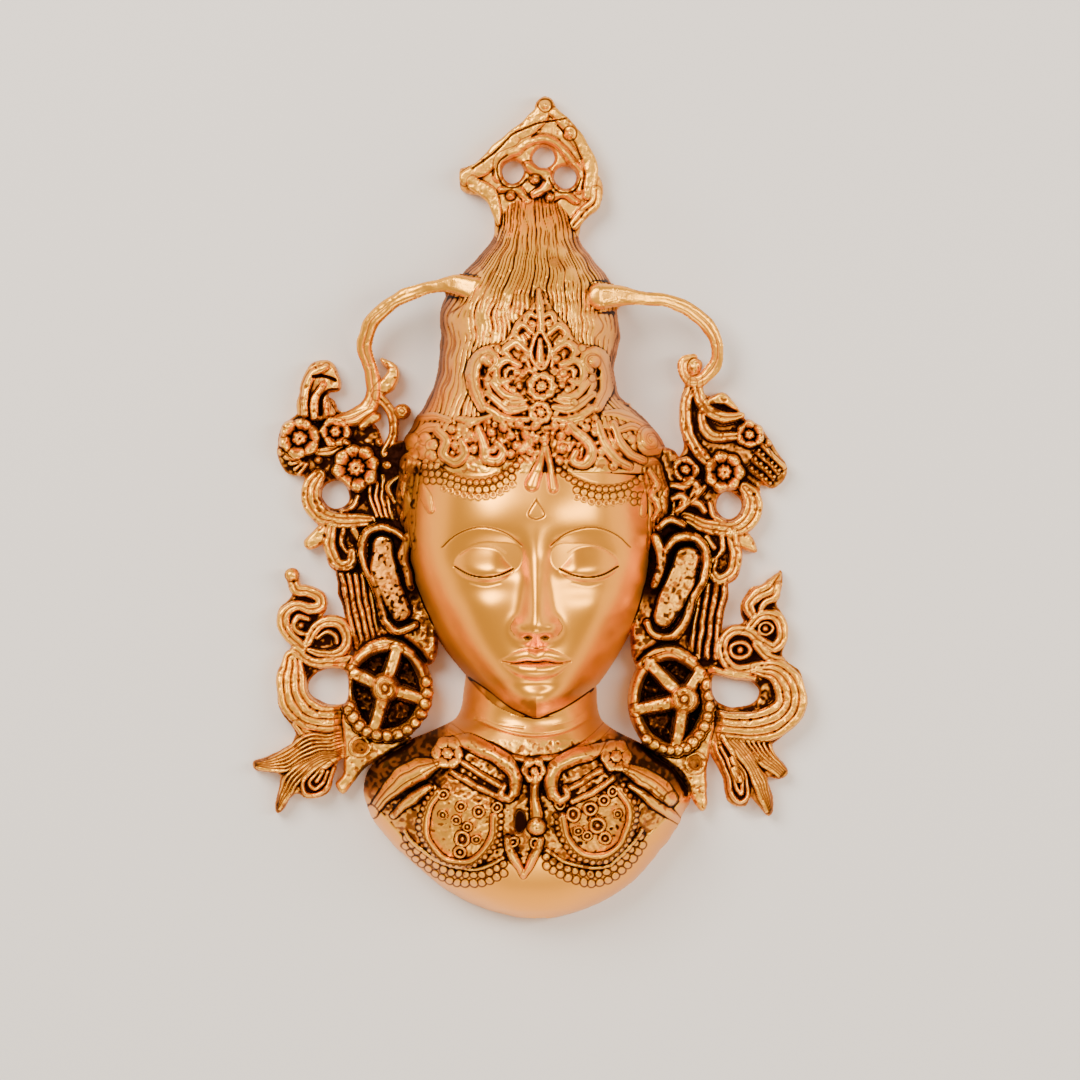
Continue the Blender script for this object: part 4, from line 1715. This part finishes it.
def makeBrass():
    material = bpy.data.materials.new("agedCastBrass")
    material.use_nodes = True
    tree = material.node_tree
    shader = tree.nodes["Principled BSDF"]
    shader.inputs["Metallic"].default_value = 1.0
    place = addNode(tree, "ShaderNodeTexCoord")
    mapped = {"Vector": place.outputs["Object"]}
    perMetre = 1000.0
    grainScale = {"Scale": perMetre / castBrass["grainSize"], "Detail": 3.0, "Roughness": 0.6}
    grain = addNode(tree, "ShaderNodeTexNoise", None, mapped, grainScale)
    stainScale = {"Scale": perMetre / castBrass["stainSize"], "Detail": 4.0, "Roughness": 0.6}
    stain = addNode(tree, "ShaderNodeTexNoise", None, mapped, stainScale)
    sunk, buffed, dirt = (
        addNode(tree, "ShaderNodeAttribute", {"attribute_name": name}).outputs["Fac"]
        for name in ("cavity", "polish", "grime")
    )
    gain = {"operation": "MULTIPLY_ADD"}
    # patina amount = sunk places and stains, less where buffed
    low, high = castBrass["stainRange"]
    stained = addNode(tree, "ShaderNodeMath", gain, {0: stain.outputs["Fac"]}, {1: high - low, 2: low})
    tarnished = addNode(tree, "ShaderNodeMath", {"operation": "ADD"}, {0: sunk, 1: stained.outputs[0]})
    worn = addNode(
        tree, "ShaderNodeMath", gain,
        {0: buffed, 2: tarnished.outputs[0]},
        {1: -castBrass["buffing"]},
    )
    low, high = castBrass["recessRange"]
    recess = addNode(tree, "ShaderNodeMapRange", {"clamp": True}, {"Value": worn.outputs[0]},
                     {"From Min": low, "From Max": high})
    dark = addNode(tree, "ShaderNodeMath", {"operation": "MAXIMUM"}, {0: recess.outputs[0], 1: dirt})
    tone = addNode(tree, "ShaderNodeValToRGB", None, {"Fac": dark.outputs[0]})
    rampOf(tone, [(place, linearOf(castBrass[name])) for place, name in castBrass["tones"]])
    less = {"operation": "SUBTRACT", "use_clamp": True}
    gleam = addNode(tree, "ShaderNodeMath", less, {0: buffed, 1: dark.outputs[0]})
    colour = addNode(
        tree, "ShaderNodeMix", {"data_type": "RGBA"},
        {0: gleam.outputs[0], 6: tone.outputs["Color"]},
        {7: linearOf(castBrass["polished"])},
    )
    tree.links.new(colour.outputs[2], shader.inputs["Base Color"])
    low, high = castBrass["roughness"]
    gloss = addNode(tree, "ShaderNodeMapRange", {"clamp": True}, {"Value": dark.outputs[0]},
                    {"To Min": low, "To Max": high})
    hazy = addNode(
        tree, "ShaderNodeMath", gain,
        {0: gleam.outputs[0], 2: gloss.outputs[0]},
        {1: castBrass["haze"]},
    )
    grainy = addNode(tree, "ShaderNodeMath", gain, {0: grain.outputs["Fac"], 2: hazy.outputs[0]},
                     {1: castBrass["grainRoughness"]})
    tree.links.new(grainy.outputs[0], shader.inputs["Roughness"])
    unbuffed = addNode(tree, "ShaderNodeMath", less, {1: buffed}, {0: 1.0})
    strength = addNode(tree, "ShaderNodeMath", gain, {0: unbuffed.outputs[0]},
                       {1: castBrass["bump"], 2: castBrass["buffedBump"]})
    bump = addNode(
        tree, "ShaderNodeBump", None,
        {"Height": grain.outputs["Fac"], "Strength": strength.outputs[0]},
        {"Distance": castBrass["bumpDepth"] * mm},
    )
    tree.links.new(bump.outputs["Normal"], shader.inputs["Normal"])
    return material


brass = makeBrass()


def makePiece(name, mine):
    top = np.full(gridX.shape, -1)
    used = np.zeros(gridX.shape, bool)
    for dj in (0, 1):
        for di in (0, 1):
            used[dj:dj + mine.shape[0], di:di + mine.shape[1]] |= mine
    top[used] = np.arange(used.sum())
    # front faces, one for each cell
    j, i = np.nonzero(mine)
    frontQuads = np.stack([top[j, i], top[j, i + 1], top[j + 1, i + 1], top[j + 1, i]], axis=1)
    # back faces, one for each full block and one for each cell elsewhere
    full = mine.reshape(blocksY, size, blocksX, size).all(axis=(1, 3))
    edged = np.pad(full, 1)
    lone = mine & ~np.kron(full, np.ones((size, size), bool))
    j, i = np.nonzero(lone)
    fineQuads = np.stack([top[j, i], top[j + 1, i], top[j + 1, i + 1], top[j, i + 1]], axis=1)
    ringed = full & edged[:-2, 1:-1] & edged[2:, 1:-1] & edged[1:-1, :-2] & edged[1:-1, 2:]
    j, i = np.nonzero(ringed)
    j, i = j * size, i * size
    wideQuads = np.stack([top[j, i], top[j + size, i], top[j + size, i + size], top[j, i + size]], axis=1)
    manySided = []
    for bj, bi in zip(*np.nonzero(full & ~ringed)):
        j, i = bj * size, bi * size
        loop = []
        for isOpen, start, move in (
            (edged[bj + 1, bi], (j, i), (1, 0)),
            (edged[bj + 2, bi + 1], (j + size, i), (0, 1)),
            (edged[bj + 1, bi + 2], (j + size, i + size), (-1, 0)),
            (edged[bj, bi + 1], (j, i + size), (0, -1)),
        ):
            steps = [0] if isOpen else range(size)
            loop += [top[start[0] + move[0] * k, start[1] + move[1] * k] for k in steps]
        manySided.append(loop)
    # walls between the front and back rims
    padded = np.pad(mine, 1)
    walls = []
    for gap, near, far in (
        (padded[:-2, 1:-1], (0, 0), (0, 1)), (padded[1:-1, 2:], (0, 1), (1, 1)),
        (padded[2:, 1:-1], (1, 1), (1, 0)), (padded[1:-1, :-2], (1, 0), (0, 0)),
    ):
        j, i = np.nonzero(mine & ~gap)
        walls.append(np.stack([top[j + near[0], i + near[1]], top[j + far[0], i + far[1]]], axis=1))
    walls = np.vstack(walls)
    count = int(used.sum())
    under = [fineQuads, wideQuads, np.stack([walls[:, 0], walls[:, 1], walls[:, 1], walls[:, 0]], axis=1)]
    needed = np.zeros(count, bool)
    for faces in under:
        needed[faces.ravel()] = True
    for loop in manySided:
        needed[loop] = True
    lower = np.full(count, -1)
    lower[needed] = count + np.arange(needed.sum())
    x, y = pointX[used], pointY[used]
    points = np.concatenate([
        np.stack([x, y, front[used]], axis=1), np.stack([x, y, back[used]], axis=1)[needed],
    ]) * mm
    wallQuads = np.stack([walls[:, 0], lower[walls[:, 0]], lower[walls[:, 1]], walls[:, 1]], axis=1)
    quads = np.concatenate([frontQuads, lower[fineQuads], lower[wideQuads], wallQuads])
    loops = [lower[np.array(loop)] for loop in manySided]
    corners = np.concatenate([quads.ravel()] + loops)
    sizes = np.concatenate([np.full(len(quads), 4), np.array([len(loop) for loop in loops], int)])
    mesh = bpy.data.meshes.new(name)
    mesh.vertices.add(len(points))
    mesh.vertices.foreach_set("co", points.astype(np.float32).ravel())
    mesh.loops.add(len(corners))
    mesh.loops.foreach_set("vertex_index", corners.astype(np.int32))
    mesh.polygons.add(len(sizes))
    mesh.polygons.foreach_set("loop_start", (np.cumsum(sizes) - sizes).astype(np.int32))
    mesh.update(calc_edges=True)
    mesh.validate()
    mesh.polygons.foreach_set("use_smooth", np.ones(len(mesh.polygons), bool))
    # the rims of the front and back are crisp
    edges = np.empty(len(mesh.edges) * 2, np.int32)
    mesh.edges.foreach_get("vertices", edges)
    edges = np.sort(edges.reshape(-1, 2).astype(np.int64), axis=1)
    rims = np.vstack([walls, lower[walls]])
    rimKeys = np.sort(rims, axis=1)
    total = len(points)
    sharp = np.isin(edges[:, 0] * total + edges[:, 1], rimKeys[:, 0] * total + rimKeys[:, 1])
    mesh.attributes.new("sharp_edge", "BOOLEAN", "EDGE").data.foreach_set("value", sharp)
    # what the back and the walls carry follows each field
    fields = (("cavity", cavity, 0.15), ("polish", polish, 0.0), ("grime", grime, 0.25))
    for label, field, backValue in fields:
        values = np.concatenate([field[used], np.full(int(needed.sum()), backValue)]).astype(np.float32)
        mesh.attributes.new(label, "FLOAT", "POINT").data.foreach_set("value", values)
    mesh.update()
    piece = bpy.data.objects.new(name, mesh)
    bpy.context.scene.collection.objects.link(piece)
    mesh.materials.append(brass)
    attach(piece, "root")
    triangles = 2 * len(quads) + sum(len(loop) - 2 for loop in loops)
    print("mask:", name, triangles, "triangles")
    return piece


pieceNames = ["hairAndCrown", "face", "bust", "leftOrnament", "rightOrnament"]
made = [makePiece(name, cells & (cellOwner == k)) for k, name in enumerate(pieceNames)]
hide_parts("mask")
print("mask: pieces made")


# Plain pale floor, soft lights and a camera that looks straight down on the mask
studio = {
    "floor": "#DCD3C8",
    "ambient": "#FFF0DE",
    "ambientStrength": 0.75,
    "key": {"at": (-0.75, 0.75, 1.3), "size": (0.9, 0.9), "power": 40},
    "fill": {"at": (0.95, 0.15, 1.0), "size": (0.35, 1.3), "power": 16},
    "low": {"at": (0.1, -1.3, 0.7), "size": (1.4, 0.35), "power": 10},
}


def makeFloor():
    half = 1.6
    mesh = bpy.data.meshes.new("floor")
    mesh.from_pydata([
        (-half, -half, 0), (half, -half, 0), (half, half, 0), (-half, half, 0),
    ], [], [(0, 1, 2, 3)])
    floor = bpy.data.objects.new("floor", mesh)
    floor.location.z = -0.0002
    bpy.context.scene.collection.objects.link(floor)
    material = bpy.data.materials.new("mattPaintedBoard")
    material.use_nodes = True
    shader = material.node_tree.nodes["Principled BSDF"]
    shader.inputs["Base Color"].default_value = linearOf(studio["floor"])
    shader.inputs["Roughness"].default_value = 0.9
    mesh.materials.append(material)


def makeLights():
    world = bpy.context.scene.world or bpy.data.worlds.new("studio")
    bpy.context.scene.world = world
    world.use_nodes = True
    ambient = world.node_tree.nodes["Background"]
    ambient.inputs["Color"].default_value = linearOf(studio["ambient"])
    ambient.inputs["Strength"].default_value = studio["ambientStrength"]
    for name in ("key", "fill", "low"):
        lamp = studio[name]
        data = bpy.data.lights.new(name, "AREA")
        data.shape = "RECTANGLE"
        data.size, data.size_y = lamp["size"]
        data.energy = lamp["power"]
        light = bpy.data.objects.new(name, data)
        light.location = lamp["at"]
        light.rotation_mode = "QUATERNION"
        light.rotation_quaternion = (-Vector(lamp["at"])).to_track_quat("-Z", "Y")
        bpy.context.scene.collection.objects.link(light)


camera = {"distance": 2.5, "widthSeen": 0.432, "at": (0.0044, -0.0132)}


def makeCamera():
    data = bpy.data.cameras.new("camera")
    data.lens = data.sensor_width * camera["distance"] / camera["widthSeen"]
    view = bpy.data.objects.new("camera", data)
    view.location = (*camera["at"], camera["distance"])
    bpy.context.scene.collection.objects.link(view)
    bpy.context.scene.camera = view


makeFloor()
makeLights()
makeCamera()
print("mask: stage done")
